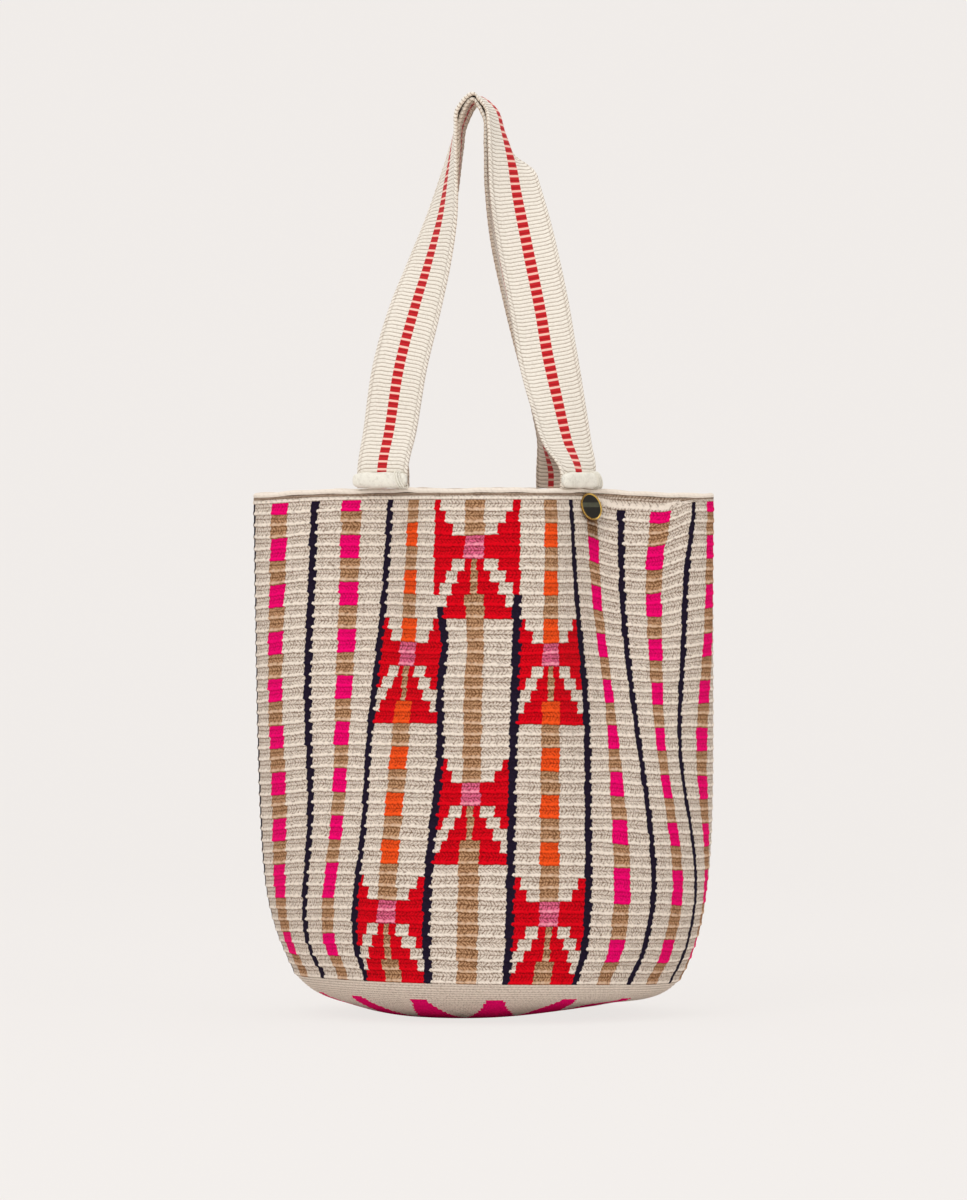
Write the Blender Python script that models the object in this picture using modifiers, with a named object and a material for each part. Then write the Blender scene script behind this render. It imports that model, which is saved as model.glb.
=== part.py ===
"""A crocheted shopper bag: a bucket body worked in ridged rounds, a rolled edge round its mouth,
two woven webbing handles whose ends are bound and sewn onto that edge, and a riveted brass disc.
Metres, +Z up. The bag stands on the flat middle of its base, its front faces -Y."""
import math

import bpy
import numpy as np
from mathutils import Matrix, Vector

# Driving sizes of the body, in metres
MOUTH_HALF_WIDTH = 0.1745
MOUTH_MIDDLE_DEPTH = 0.086
BASE_RADIUS = 0.146
FLAT_RADIUS = 0.055
CORNER_REACH = 0.105
CORNER_HEIGHT = 0.075
CORNER_POWER = 2.3
WALL_THICKNESS = 0.004
ROWS = 41
ROW_PITCH = 0.00875
RIDGE_RISE = 0.0012
TOP_BAND = 0.005

# How the wall opens out above the base, and how its front and back bulge between the handles
CORNER_FLARE = 0.8
FLARE_SPREAD = 0.12
DEPTH_POWER = 1.1
BULGE_DEPTH = 0.042
BULGE_START = 0.12
BULGE_FULL = 0.85
FRONT_BULGE_LEFT = -0.085
FRONT_BULGE_LEFT_FULL = -0.026
FRONT_BULGE_RIGHT_FULL = 0.048
FRONT_BULGE_RIGHT = 0.090
BACK_BULGE_LEFT = -0.080
BACK_BULGE_LEFT_FULL = -0.044
BACK_BULGE_RIGHT_FULL = 0.036
BACK_BULGE_RIGHT = 0.068

# The stitch count round the body, and the stitches that lie at its two sides
CELLS = 16
CELL_STITCHES = 12
LEFT_SIDE_STITCH = -42.5
RIGHT_SIDE_STITCH = 49.5
FIRST_STITCH_AT_FOOT = -0.0126
FIRST_STITCH_AT_MOUTH = -0.0067
CELL_EDGES = (-1.5, 1.5, 5.5, 6.5)
BASE_RINGS = 3
INNER_FOOT = 0.05
INNER_CORNER_SHARE = 0.7
INNER_BULGE_CUTS = (1.0, 0.7, 0.36, 0.0)
SIDE_SHARE = 0.95
FLANK_MARGIN = 0.01
OUTLINE_SAMPLES = 240
GROOVE_SHARE = 0.02
CREST_SHARE = 0.35
NORMAL_STEP = 0.4
SLOPE_STEP = 0.01
BASE_POINTS = 12

# The rolled edge
EDGE_RADIUS = 0.0022
EDGE_STITCH_STEP = 2.0
CLEARANCE = 0.0003

# The handles
STRAP_WIDTH = 0.045
STRAP_THICKNESS = 0.0026
SELVAGE_TAPER = 0.0012
STRIPE_WIDTH = 0.007
STRAP_STATIONS = 56
STRAP_TUCK = 0.006
STRAP_RISE = 0.285
CROWN_CROWDING = 0.6
LINE_SAMPLES = 600
SEAT_PASSES = 8

# The bound ends of the handles
BINDING_HEIGHT = 0.011
BINDING_THICKNESS = 0.008
BINDING_OVERHANG = 0.0012
BINDING_ROUND = 0.003

# The brass disc
STUD_STITCH = 24.0
STUD_BELOW_EDGE = 0.011
STUD_RADIUS = 0.010
STUD_THICKNESS = 0.0016
STUD_LIP = 0.0007
STUD_STAND = 0.0008
POST_RADIUS = 0.002
POST_HEAD_RADIUS = 0.0032
POST_HEAD_THICKNESS = 0.0008
WASHER_RADIUS = 0.0065
WASHER_THICKNESS = 0.0008
TURN_STEPS = 32
HOLE_SIDES = 12
SEAT_SAMPLES = 31

STITCHES = CELLS * CELL_STITCHES
STITCH_WIDTH = 2 * math.pi * BASE_RADIUS / STITCHES
COLUMNS = [cell * CELL_STITCHES + edge for cell in range(CELLS) for edge in CELL_EDGES]
BULGE_RANGE = BULGE_FULL - BULGE_START
FRONT_BULGE = (
    FRONT_BULGE_LEFT,
    FRONT_BULGE_LEFT_FULL,
    FRONT_BULGE_RIGHT_FULL,
    FRONT_BULGE_RIGHT,
)
BACK_BULGE = (
    BACK_BULGE_LEFT,
    BACK_BULGE_LEFT_FULL,
    BACK_BULGE_RIGHT_FULL,
    BACK_BULGE_RIGHT,
)
INNER_HEIGHTS = (
    1.0,
    *(BULGE_START + BULGE_RANGE * cut for cut in INNER_BULGE_CUTS),
    INNER_FOOT,
    0.0,
)


def corner_rise(radius):
    """Height of the base's underside at a radius: flat in the middle, then a rounded corner."""
    reach = min(max((radius - FLAT_RADIUS) / CORNER_REACH, 0.0), 1.0)
    return CORNER_HEIGHT * (1.0 - (1.0 - reach**CORNER_POWER) ** (1.0 / CORNER_POWER))


BASE_RISE = corner_rise(BASE_RADIUS)
WALL_TOP = BASE_RISE + ROWS * ROW_PITCH + TOP_BAND
EDGE_CENTRE = WALL_TOP + CLEARANCE + EDGE_RADIUS
BINDING_BOTTOM = EDGE_CENTRE + EDGE_RADIUS + CLEARANCE
BINDING_TOP = BINDING_BOTTOM + BINDING_HEIGHT

# Each handle's line: the left end's place across the mouth, points up its left leg, its crown and
# down its right leg, and the right end's place. Places and the points' x and y are shares of the
# mouth's half width, heights are shares of the strap's rise above its bound ends, and the last
# number is the turn in degrees, seen from above, of the way from the line to its near selvage.
FRONT_HANDLE = (
    -0.444,
    (-0.407, -0.229, 0.109, -26),
    (-0.355, -0.209, 0.281, -21),
    (-0.298, -0.183, 0.428, -32),
    (-0.244, -0.149, 0.551, -48),
    (-0.192, -0.109, 0.681, -65),
    (-0.155, -0.069, 0.800, -79),
    (-0.113, -0.029, 0.902, -91),
    (-0.089, -0.011, 0.958, -97),
    (-0.027, 0.000, 1.000, -105),
    (0.048, -0.011, 0.968, -113),
    (0.083, -0.034, 0.904, -122),
    (0.113, -0.063, 0.839, -137),
    (0.140, -0.092, 0.744, -144),
    (0.193, -0.138, 0.585, -155),
    (0.249, -0.189, 0.414, -171),
    (0.273, -0.212, 0.323, -179),
    (0.321, -0.249, 0.182, -150),
    (0.370, -0.281, 0.077, -137),
    0.4155,
)
BACK_HANDLE = (
    -0.378,
    (-0.350, 0.321, 0.158, -112),
    (-0.298, 0.269, 0.333, -106),
    (-0.229, 0.206, 0.491, -102),
    (-0.155, 0.138, 0.618, -99),
    (-0.117, 0.069, 0.744, -97),
    (-0.092, 0.023, 0.860, -97),
    (-0.069, 0.014, 0.926, -99),
    (-0.025, 0.009, 0.985, -104),
    (0.020, 0.006, 0.940, -109),
    (0.030, 0.017, 0.870, -107),
    (0.037, 0.057, 0.754, -101),
    (0.054, 0.115, 0.618, -97),
    (0.103, 0.172, 0.456, -94),
    (0.169, 0.241, 0.288, -92),
    (0.226, 0.292, 0.161, -88),
    (0.272, 0.327, 0.070, -76),
    0.301,
)


def smooth(share):
    """A step from 0 to 1 that starts and ends level."""
    share = np.clip(share, 0.0, 1.0)
    return share * share * (3.0 - 2.0 * share)


def half_width(height):
    """Half width of the body at a share of the wall's height: it opens fast, then slowly."""
    fast = CORNER_FLARE * (1.0 - math.exp(-height / FLARE_SPREAD))
    return BASE_RADIUS + (MOUTH_HALF_WIDTH - BASE_RADIUS) * (
        fast + (1.0 - CORNER_FLARE) * height
    )


def bulge(x, edges):
    """1 between the two inner edges of a bulge, 0 outside its outer edges."""
    left_out, left_in, right_in, right_out = edges
    rise = smooth((x - left_out) / (left_in - left_out))
    return rise * smooth((right_out - x) / (right_out - right_in))


def outline(height):
    """The body's outline seen from above at a share of the wall's height, as x, y and stitch
    arrays: an ellipse whose front and back bulge between the handles, with the stitches spread
    evenly along its back and on either side of the first stitch, in the front's middle."""
    wide = half_width(height)
    push = BULGE_DEPTH * float(smooth((height - BULGE_START) / BULGE_RANGE))
    middle = BASE_RADIUS - (BASE_RADIUS - MOUTH_MIDDLE_DEPTH) * height**DEPTH_POWER
    deep = middle - push
    turn = np.linspace(0.0, math.pi, OUTLINE_SAMPLES)
    front_x = -wide * np.cos(turn)
    front_y = -deep * np.sin(turn) - push * bulge(front_x, FRONT_BULGE)
    back_x = -front_x
    back_y = deep * np.sin(turn) + push * bulge(back_x, BACK_BULGE)

    def run(x, y):
        return np.concatenate([[0.0], np.cumsum(np.hypot(np.diff(x), np.diff(y)))])

    along = run(front_x, front_y)
    first_x = FIRST_STITCH_AT_FOOT + height * (
        FIRST_STITCH_AT_MOUTH - FIRST_STITCH_AT_FOOT
    )
    marks = [0.0, np.interp(first_x, front_x, along), along[-1]]
    front = np.interp(along, marks, [LEFT_SIDE_STITCH, 0.0, RIGHT_SIDE_STITCH])
    along = run(back_x, back_y)
    last = LEFT_SIDE_STITCH + STITCHES
    back = RIGHT_SIDE_STITCH + (last - RIGHT_SIDE_STITCH) * along / along[-1]
    return (
        np.concatenate([front_x, back_x[1:]]),
        np.concatenate([front_y, back_y[1:]]),
        np.concatenate([front, back[1:]]),
    )


def wall_ring(stitches, height, out=0.0):
    """Points of the wall at these stitches and a share of its height, moved out along the normal.
    The normal leans with the wall's flare, so an inner ring keeps the wall's thickness."""
    x, y, along = outline(height)
    start = LEFT_SIDE_STITCH
    wanted = (np.asarray(stitches, float) - start) % STITCHES + start
    here = np.stack([np.interp(wanted, along, x), np.interp(wanted, along, y)], axis=1)
    ahead = (wanted + NORMAL_STEP - start) % STITCHES + start
    behind = (wanted - NORMAL_STEP - start) % STITCHES + start
    run = np.stack([np.interp(ahead, along, x), np.interp(ahead, along, y)], axis=1)
    run -= np.stack([np.interp(behind, along, x), np.interp(behind, along, y)], axis=1)
    normal = np.stack([run[:, 1], -run[:, 0]], axis=1)
    normal /= np.linalg.norm(normal, axis=1)[:, None]
    low = max(height - SLOPE_STEP, 0.0)
    high = height + SLOPE_STEP
    slope = (half_width(high) - half_width(low)) / (
        (high - low) * (WALL_TOP - BASE_RISE)
    )
    lean = math.atan(slope)
    z = BASE_RISE + height * (WALL_TOP - BASE_RISE) - out * math.sin(lean)
    flat = here + normal * out * math.cos(lean)
    return [(float(px), float(py), z) for px, py in flat]


def base_ring(stitches, radius, out=0.0):
    """Points of the base at these stitches and a radius, moved out along its rounded profile."""
    x, y, along = outline(0.0)
    start = LEFT_SIDE_STITCH
    wanted = (np.asarray(stitches, float) - start) % STITCHES + start
    here = np.stack([np.interp(wanted, along, x), np.interp(wanted, along, y)], axis=1)
    here /= np.linalg.norm(here, axis=1)[:, None]
    nudge = 0.0005
    slope = (corner_rise(radius + nudge) - corner_rise(radius - nudge)) / (2 * nudge)
    lean = math.atan(slope)
    reach = radius + out * math.sin(lean)
    z = corner_rise(radius) - out * math.cos(lean)
    return [(float(px) * reach, float(py) * reach, z) for px, py in here]


def collection(name):
    made = bpy.data.collections.new(name)
    bpy.context.scene.collection.children.link(made)
    return made


def material(name, colour, roughness, metallic=0.0):
    made = bpy.data.materials.new(name)
    made.use_nodes = True
    shader = made.node_tree.nodes["Principled BSDF"]
    shader.inputs["Base Color"].default_value = (*colour, 1.0)
    shader.inputs["Roughness"].default_value = roughness
    shader.inputs["Metallic"].default_value = metallic
    made.diffuse_color = (*colour, 1.0)
    return made


def add_mesh(name, points, faces, into, materials, indices=None):
    mesh = bpy.data.meshes.new(name)
    mesh.from_pydata(points, [], faces)
    for entry in materials:
        mesh.materials.append(entry)
    if indices is not None:
        mesh.polygons.foreach_set("material_index", indices)
    mesh.shade_smooth()
    mesh.set_sharp_from_angle(angle=math.radians(40))
    made = bpy.data.objects.new(name, mesh)
    into.objects.link(made)
    return made


def bridge(first, second, count):
    """Quads between two closed rings of as many points, which start at these indices."""
    return [
        (first + i, first + (i + 1) % count, second + (i + 1) % count, second + i)
        for i in range(count)
    ]


def cell_colour(column, row):
    """The field of colour of one column of a cell, at a row counted down from the mouth: navy
    stripes, columns of pink and tan blocks, and groups of three columns of red winged figures."""
    cell, part = divmod(column, len(CELL_EDGES))
    if part == 2:
        return "navy"
    place = (cell + (part == 3) + 1) % (CELLS // 2)
    if place not in (0, 1, 2):
        block = "pink" if ((row + 1) // 2) % 2 == 0 else "tan"
        return block if part == 0 else "cream"
    figure_tops = (0, 22) if place == 1 else (10, 32)
    into = min((row - top for top in figure_tops if row >= top), default=ROWS)
    if part == 0:
        if into in (2, 3):
            return "rose"
        phase = row if row < figure_tops[0] else row + 1
        accent = place != 1 and phase % 4 in (2, 3) and into > 8
        return "orange" if accent else "tan"
    return "red" if into in (2, 3, 7, 8) else "cream"


def inner_columns():
    """The columns that the inner skin keeps: every second one, and all of them where the wall
    turns at its sides or at the flanks of a bulge, so that it stays inside the outer skin."""
    ring = wall_ring(COLUMNS, 1.0)
    kept = []
    for index, (x, y, _) in enumerate(ring):
        rise = bulge(x, FRONT_BULGE if y < 0 else BACK_BULGE)
        on_flank = FLANK_MARGIN < rise < 1.0 - FLANK_MARGIN
        at_side = abs(x) > SIDE_SHARE * MOUTH_HALF_WIDTH
        if index % 2 == 0 or on_flank or at_side:
            kept.append(index)
    return kept


def make_body(into, colours):
    """The body: ridged wall outside, rounded base, plain inner face, one closed crocheted shell."""
    count = len(COLUMNS)
    names = sorted(colours)
    points = []
    faces = []
    indices = []
    rings = []

    def add_ring(ring):
        rings.append(len(points))
        points.extend(ring)

    for ring in range(BASE_RINGS):
        share = math.sin(ring / BASE_RINGS * math.pi / 2)
        add_ring(
            base_ring(COLUMNS, FLAT_RADIUS + (BASE_RADIUS - FLAT_RADIUS) * share)
        )
    faces.append(tuple(range(count))[::-1])
    indices.append(names.index("pink"))
    wall_share = ROW_PITCH / (WALL_TOP - BASE_RISE)
    for row in range(ROWS):
        add_ring(wall_ring(COLUMNS, (row + GROOVE_SHARE) * wall_share))
        add_ring(wall_ring(COLUMNS, (row + CREST_SHARE) * wall_share, RIDGE_RISE))
    add_ring(wall_ring(COLUMNS, ROWS * wall_share))
    add_ring(wall_ring(COLUMNS, 1.0))
    for level, (lower, upper) in enumerate(zip(rings, rings[1:])):
        faces.extend(bridge(lower, upper, count))
        row = ROWS - 1 - (level - BASE_RINGS) // 2
        for column in range(count):
            if level < BASE_RINGS - 1:
                place = (column + 0.5) * BASE_POINTS / count
                name = "pink" if place % 1.0 < 0.5 else "cream"
            elif level < BASE_RINGS or row < 0:
                name = "cream"
            else:
                name = cell_colour(column, row)
            indices.append(names.index(name))
    outer_top = rings[-1]

    kept = inner_columns()
    stitches = [COLUMNS[index] for index in kept]
    inner = []
    for height in INNER_HEIGHTS:
        inner.append(len(points))
        points.extend(wall_ring(stitches, height, -WALL_THICKNESS))
    for share in (INNER_CORNER_SHARE, 0.0):
        inner.append(len(points))
        radius = FLAT_RADIUS + (BASE_RADIUS - FLAT_RADIUS) * share
        points.extend(base_ring(stitches, radius, -WALL_THICKNESS))
    for i, start in enumerate(kept):
        here = inner[0] + i
        after = inner[0] + (i + 1) % len(kept)
        end = kept[(i + 1) % len(kept)] or count
        for column in range(start, end):
            faces.append(
                (outer_top + column, outer_top + (column + 1) % count, here)
            )
        faces.append((outer_top + end % count, after, here))
    for upper, lower in zip(inner, inner[1:]):
        faces.extend(bridge(upper, lower, len(kept)))
    faces.append(tuple(inner[-1] + i for i in range(len(kept))))
    indices.extend([names.index("cream")] * (len(faces) - len(indices)))
    materials = [colours[name] for name in names]
    return add_mesh("body", points, faces, into, materials, indices)


def make_edge(into, colour):
    """The rolled edge: a round cord of stitches that lies on the top of the wall all round."""
    stitches = np.arange(0, STITCHES, EDGE_STITCH_STEP)
    ring = wall_ring(stitches, 1.0, -WALL_THICKNESS / 2)
    curve = bpy.data.curves.new("rim_edge", "CURVE")
    curve.dimensions = "3D"
    curve.bevel_depth = EDGE_RADIUS
    curve.bevel_resolution = 2
    line = curve.splines.new("POLY")
    line.points.add(len(ring) - 1)
    for point, (x, y, _) in zip(line.points, ring):
        point.co = (x, y, EDGE_CENTRE, 1.0)
    line.use_cyclic_u = True
    curve.materials.append(colour)
    made = bpy.data.objects.new("rim_edge", curve)
    into.objects.link(made)


def seat(place, side):
    """Where a handle's end stands on the edge of this side (-1 front, 1 back): x, y and the turn
    that lays the webbing's width along the edge, towards its near selvage."""
    x, y, _ = outline(1.0)
    if side < 0:
        line_x, line_y = x[:OUTLINE_SAMPLES], y[:OUTLINE_SAMPLES]
    else:
        line_x, line_y = x[: OUTLINE_SAMPLES - 2 : -1], y[: OUTLINE_SAMPLES - 2 : -1]
    middle = place * MOUTH_HALF_WIDTH
    turn = 0.0
    for _ in range(SEAT_PASSES):
        reach = STRAP_WIDTH / 2 * math.cos(turn)
        left, right = np.interp([middle - reach, middle + reach], line_x, line_y)
        turn = math.atan2(right - left, 2 * reach)
    near = turn if right < left else turn - math.pi
    return middle, (left + right) / 2 - side * WALL_THICKNESS / 2, math.degrees(near)


def handle_controls(handle, side):
    """The handle's control points in metres, from where one end leaves its bound roll to where
    the other enters."""
    first, *between, last = handle
    ends = [seat(place, side) for place in (first, last)]
    (x, y, turn), (last_x, last_y, last_turn) = ends
    points = [(x, y, BINDING_TOP, turn)]
    for x, y, z, turn in between:
        x, y = x * MOUTH_HALF_WIDTH, y * MOUTH_HALF_WIDTH
        points.append((x, y, BINDING_TOP + z * STRAP_RISE, turn))
    return [*points, (last_x, last_y, BINDING_TOP, last_turn)]


def smooth_line(controls, count):
    """Points along a smooth curve through the control points, whose columns are x, y, z and turn,
    closest together at its middle. The curve is a cardinal spline over the controls' distances."""
    table = np.array(controls, float)
    gaps = np.linalg.norm(np.diff(table[:, :3], axis=0), axis=1)
    knots = np.concatenate([[0.0], np.cumsum(gaps)])
    slopes = np.gradient(table, knots, axis=0)
    fine = np.linspace(0.0, knots[-1], LINE_SAMPLES)
    place = np.clip(np.searchsorted(knots, fine, side="right") - 1, 0, len(gaps) - 1)
    width = gaps[place][:, None]
    t = ((fine - knots[place]) / gaps[place])[:, None]
    curve = (
        (2 * t**3 - 3 * t**2 + 1) * table[place]
        + (t**3 - 2 * t**2 + t) * width * slopes[place]
        + (-2 * t**3 + 3 * t**2) * table[place + 1]
        + (t**3 - t**2) * width * slopes[place + 1]
    )
    steps = np.linalg.norm(np.diff(curve[:, :3], axis=0), axis=1)
    along = np.concatenate([[0.0], np.cumsum(steps)])
    share = np.linspace(0.0, 1.0, count)
    share += CROWN_CROWDING * np.sin(2 * math.pi * share) / (2 * math.pi)
    wanted = share * along[-1]
    return np.stack([np.interp(wanted, along, column) for column in curve.T], axis=1)


def strap_section():
    """The webbing's cross-section, as (across, through) pairs: flat faces with a stripe down the
    middle of each, and selvages that thin to an edge."""
    half = STRAP_WIDTH / 2
    thick = STRAP_THICKNESS / 2
    stripe = STRIPE_WIDTH / 2
    upper = [(half - SELVAGE_TAPER, thick), (stripe, thick), (-stripe, thick)]
    upper.append((-half + SELVAGE_TAPER, thick))
    lower = [(across, -through) for across, through in reversed(upper)]
    return [(half, 0.0), *upper, (-half, 0.0), *lower]


def make_strap(name, controls, into, cream, red):
    """A webbing handle swept along its line, its width turned as the line's points say, with a
    straight tuck down into the bound roll at each end."""
    line = smooth_line(controls, STRAP_STATIONS)
    tucks = line[[0, -1]] - (0.0, 0.0, STRAP_TUCK, 0.0)
    line = np.concatenate([tucks[:1], line, tucks[1:]])
    section = strap_section()
    count = len(section)
    points = []
    for i, (x, y, z, turn) in enumerate(line):
        before = line[max(i - 1, 0), :3]
        after = line[min(i + 1, len(line) - 1), :3]
        along = Vector(after - before).normalized()
        if i < 2 or i > len(line) - 3:
            along = Vector((0.0, 0.0, 1.0 if i < 2 else -1.0))
        across = Vector((math.cos(math.radians(turn)), math.sin(math.radians(turn)), 0))
        across = (across - along * across.dot(along)).normalized()
        through = across.cross(along)
        centre = Vector((x, y, z))
        points.extend(centre + across * a + through * t for a, t in section)
    faces = [tuple(range(count))]
    for i in range(len(line) - 1):
        faces.extend(
            face[::-1] for face in bridge(i * count, (i + 1) * count, count)
        )
    faces.append(tuple(range((len(line) - 1) * count, len(line) * count))[::-1])
    stripes = (2, 7)
    indices = [0]
    for _ in range(len(line) - 1):
        indices.extend(1 if side in stripes else 0 for side in range(count))
    indices.append(0)
    return add_mesh(name, points, faces, into, [cream, red], indices)


def make_binding(name, end, into, cutters, colour):
    """A smooth bound roll round a handle's end: a rounded bar with a slot that holds the webbing,
    standing on the rolled edge."""
    x, y, _, turn = end
    bpy.ops.mesh.primitive_cube_add(size=1.0)
    roll = bpy.context.object
    roll.name = name
    roll.data.name = name
    length = STRAP_WIDTH + 2 * BINDING_OVERHANG
    roll.data.transform(
        Matrix.Translation((0.0, 0.0, BINDING_HEIGHT / 2))
        @ Matrix.Diagonal((length, BINDING_THICKNESS, BINDING_HEIGHT, 1.0))
    )
    roll.location = (x, y, BINDING_BOTTOM)
    roll.rotation_euler.z = math.radians(turn)
    rounding = roll.modifiers.new("rounding", "BEVEL")
    rounding.width = BINDING_ROUND
    rounding.segments = 3
    roll.data.materials.append(colour)

    bpy.ops.mesh.primitive_cube_add(size=1.0)
    slot = bpy.context.object
    slot.name = name + "_slot"
    wide = STRAP_WIDTH + 2 * CLEARANCE
    thick = STRAP_THICKNESS + 2 * CLEARANCE
    deep = 2 * (STRAP_TUCK + CLEARANCE)
    slot.data.transform(
        Matrix.Translation((0.0, 0.0, BINDING_HEIGHT))
        @ Matrix.Diagonal((wide, thick, deep, 1.0))
    )
    slot.location = roll.location
    slot.rotation_euler.z = roll.rotation_euler.z
    slot.hide_render = True
    slot.display_type = "WIRE"
    cut = roll.modifiers.new("slot", "BOOLEAN")
    cut.operation = "DIFFERENCE"
    cut.object = slot
    for made, home in ((roll, into), (slot, cutters)):
        for old in list(made.users_collection):
            old.objects.unlink(made)
        home.objects.link(made)


def skin(columns, stitches, height, out):
    """Points of a skin at these stitches and a height, on its flat fields between columns."""
    ring = np.array(wall_ring(columns, height, out))
    return [
        Vector([float(np.interp(stitch, columns, axis)) for axis in ring.T])
        for stitch in stitches
    ]


def stud_seat():
    """The disc's seat on the wall: the point where its axis meets the wall's outer face, the
    outward axis, and how far the wall stands out and lies in within the disc's reach."""
    wall_height = WALL_TOP - BASE_RISE
    height = 1.0 - STUD_BELOW_EDGE / wall_height
    reach = STUD_RADIUS / wall_height
    span = STUD_RADIUS / STITCH_WIDTH
    near = (STUD_STITCH - span, STUD_STITCH + span)
    left, right = (Vector(p) for p in wall_ring(near, height))
    low = Vector(wall_ring([STUD_STITCH], height - reach)[0])
    high = Vector(wall_ring([STUD_STITCH], height + reach)[0])
    axis = (right - left).cross(high - low).normalized()
    centre = skin(COLUMNS, [STUD_STITCH], height, 0.0)[0]
    around = np.linspace(*near, SEAT_SAMPLES)
    levels = np.linspace(height - reach, height + reach, SEAT_SAMPLES)
    outer = [p - centre for h in levels for p in skin(COLUMNS, around, h, RIDGE_RISE)]
    kept = [COLUMNS[index] for index in inner_columns()]
    over, under = INNER_HEIGHTS[:2]
    tops = skin(kept, around, over, -WALL_THICKNESS)
    feet = skin(kept, around, under, -WALL_THICKNESS)
    inner = []
    for h in levels:
        share = (over - h) / (over - under)
        inner.extend(top.lerp(foot, share) - centre for top, foot in zip(tops, feet))

    def within(points, radius):
        return [
            p.dot(axis) for p in points if (p - axis * p.dot(axis)).length <= radius
        ]

    stands = max(within(outer, STUD_RADIUS))
    lies = min(within(inner, WASHER_RADIUS))
    return centre, axis, stands, lies


def turned(name, profile, into, colour):
    """A turned piece: a closed profile of (radius, height) points turned about the local Z axis."""
    mesh = bpy.data.meshes.new(name)
    mesh.from_pydata(
        [(radius, 0.0, height) for radius, height in profile],
        [(i, (i + 1) % len(profile)) for i in range(len(profile))],
        [],
    )
    mesh.materials.append(colour)
    made = bpy.data.objects.new(name, mesh)
    into.objects.link(made)
    return made


def add_screw(made):
    """Turns the profile once round its axis."""
    turn = made.modifiers.new("turning", "SCREW")
    turn.steps = TURN_STEPS
    turn.render_steps = TURN_STEPS
    turn.use_merge_vertices = True
    turn.merge_threshold = 0.00001
    turn.use_smooth_shade = True


def make_stud(into, cutters, body, brass):
    """The brass disc with its post through the wall and the washer that its head is closed over."""
    centre, axis, stands, lies = stud_seat()
    turn = axis.to_track_quat("Z", "Y")
    under = stands + STUD_STAND
    top = under + STUD_THICKNESS
    washer_top = lies - CLEARANCE
    washer_bottom = washer_top - WASHER_THICKNESS
    head_top = washer_bottom - CLEARANCE
    head_bottom = head_top - POST_HEAD_THICKNESS
    lip = STUD_LIP
    cap = [
        (0.0, top - lip / 2),
        (STUD_RADIUS - 2 * lip, top - lip / 2),
        (STUD_RADIUS - lip, top),
        (STUD_RADIUS - lip / 2, top),
        (STUD_RADIUS, top - lip / 2),
        (STUD_RADIUS, under + lip / 2),
        (STUD_RADIUS - lip / 2, under),
        (POST_RADIUS, under),
        (POST_RADIUS, head_top),
        (POST_HEAD_RADIUS, head_top),
        (POST_HEAD_RADIUS, head_bottom + POST_HEAD_THICKNESS / 2),
        (POST_RADIUS, head_bottom),
        (0.0, head_bottom),
    ]
    hole = POST_RADIUS + CLEARANCE
    washer = [
        (hole, washer_top),
        (WASHER_RADIUS, washer_top),
        (WASHER_RADIUS, washer_bottom),
        (hole, washer_bottom),
    ]
    for name, profile in (("stud_cap", cap), ("stud_washer", washer)):
        made = turned(name, profile, into, brass)
        made.location = centre
        made.rotation_mode = "QUATERNION"
        made.rotation_quaternion = turn
        add_screw(made)
    bpy.ops.mesh.primitive_cylinder_add(
        vertices=HOLE_SIDES,
        radius=hole,
        depth=4 * (stands - lies),
        location=centre,
        rotation=turn.to_euler(),
    )
    drill = bpy.context.object
    drill.name = "stud_hole"
    drill.hide_render = True
    drill.display_type = "WIRE"
    for old in list(drill.users_collection):
        old.objects.unlink(drill)
    cutters.objects.link(drill)
    cut = body.modifiers.new("stud_hole", "BOOLEAN")
    cut.operation = "DIFFERENCE"
    cut.object = drill


def main():
    for thing in list(bpy.data.objects):
        bpy.data.objects.remove(thing)
    bag = collection("shopper_bag")
    cutters = collection("cutters")
    colours = {
        "cream": material("cream_yarn", (0.72, 0.65, 0.54), 0.9),
        "tan": material("tan_yarn", (0.50, 0.30, 0.13), 0.9),
        "pink": material("pink_yarn", (0.84, 0.01, 0.19), 0.85),
        "red": material("red_yarn", (0.72, 0.01, 0.02), 0.85),
        "orange": material("orange_yarn", (0.84, 0.08, 0.01), 0.85),
        "rose": material("rose_yarn", (0.62, 0.10, 0.14), 0.88),
        "navy": material("navy_yarn", (0.012, 0.011, 0.035), 0.88),
    }
    cream_web = material("cream_webbing", (0.78, 0.73, 0.63), 0.85)
    red_web = material("red_webbing", (0.72, 0.02, 0.02), 0.85)
    piping = material("cream_piping", (0.80, 0.76, 0.67), 0.8)
    brass = material("brass", (0.72, 0.52, 0.20), 0.22, 1.0)

    body = make_body(bag, colours)
    make_edge(bag, colours["cream"])
    for name, handle, side in (
        ("front", FRONT_HANDLE, -1),
        ("back", BACK_HANDLE, 1),
    ):
        controls = handle_controls(handle, side)
        make_strap(f"strap_{name}", controls, bag, cream_web, red_web)
        for hand, end in (("left", controls[0]), ("right", controls[-1])):
            make_binding(f"binding_{name}_{hand}", end, bag, cutters, piping)
    make_stud(bag, cutters, body, brass)


main()
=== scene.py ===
import math

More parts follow.
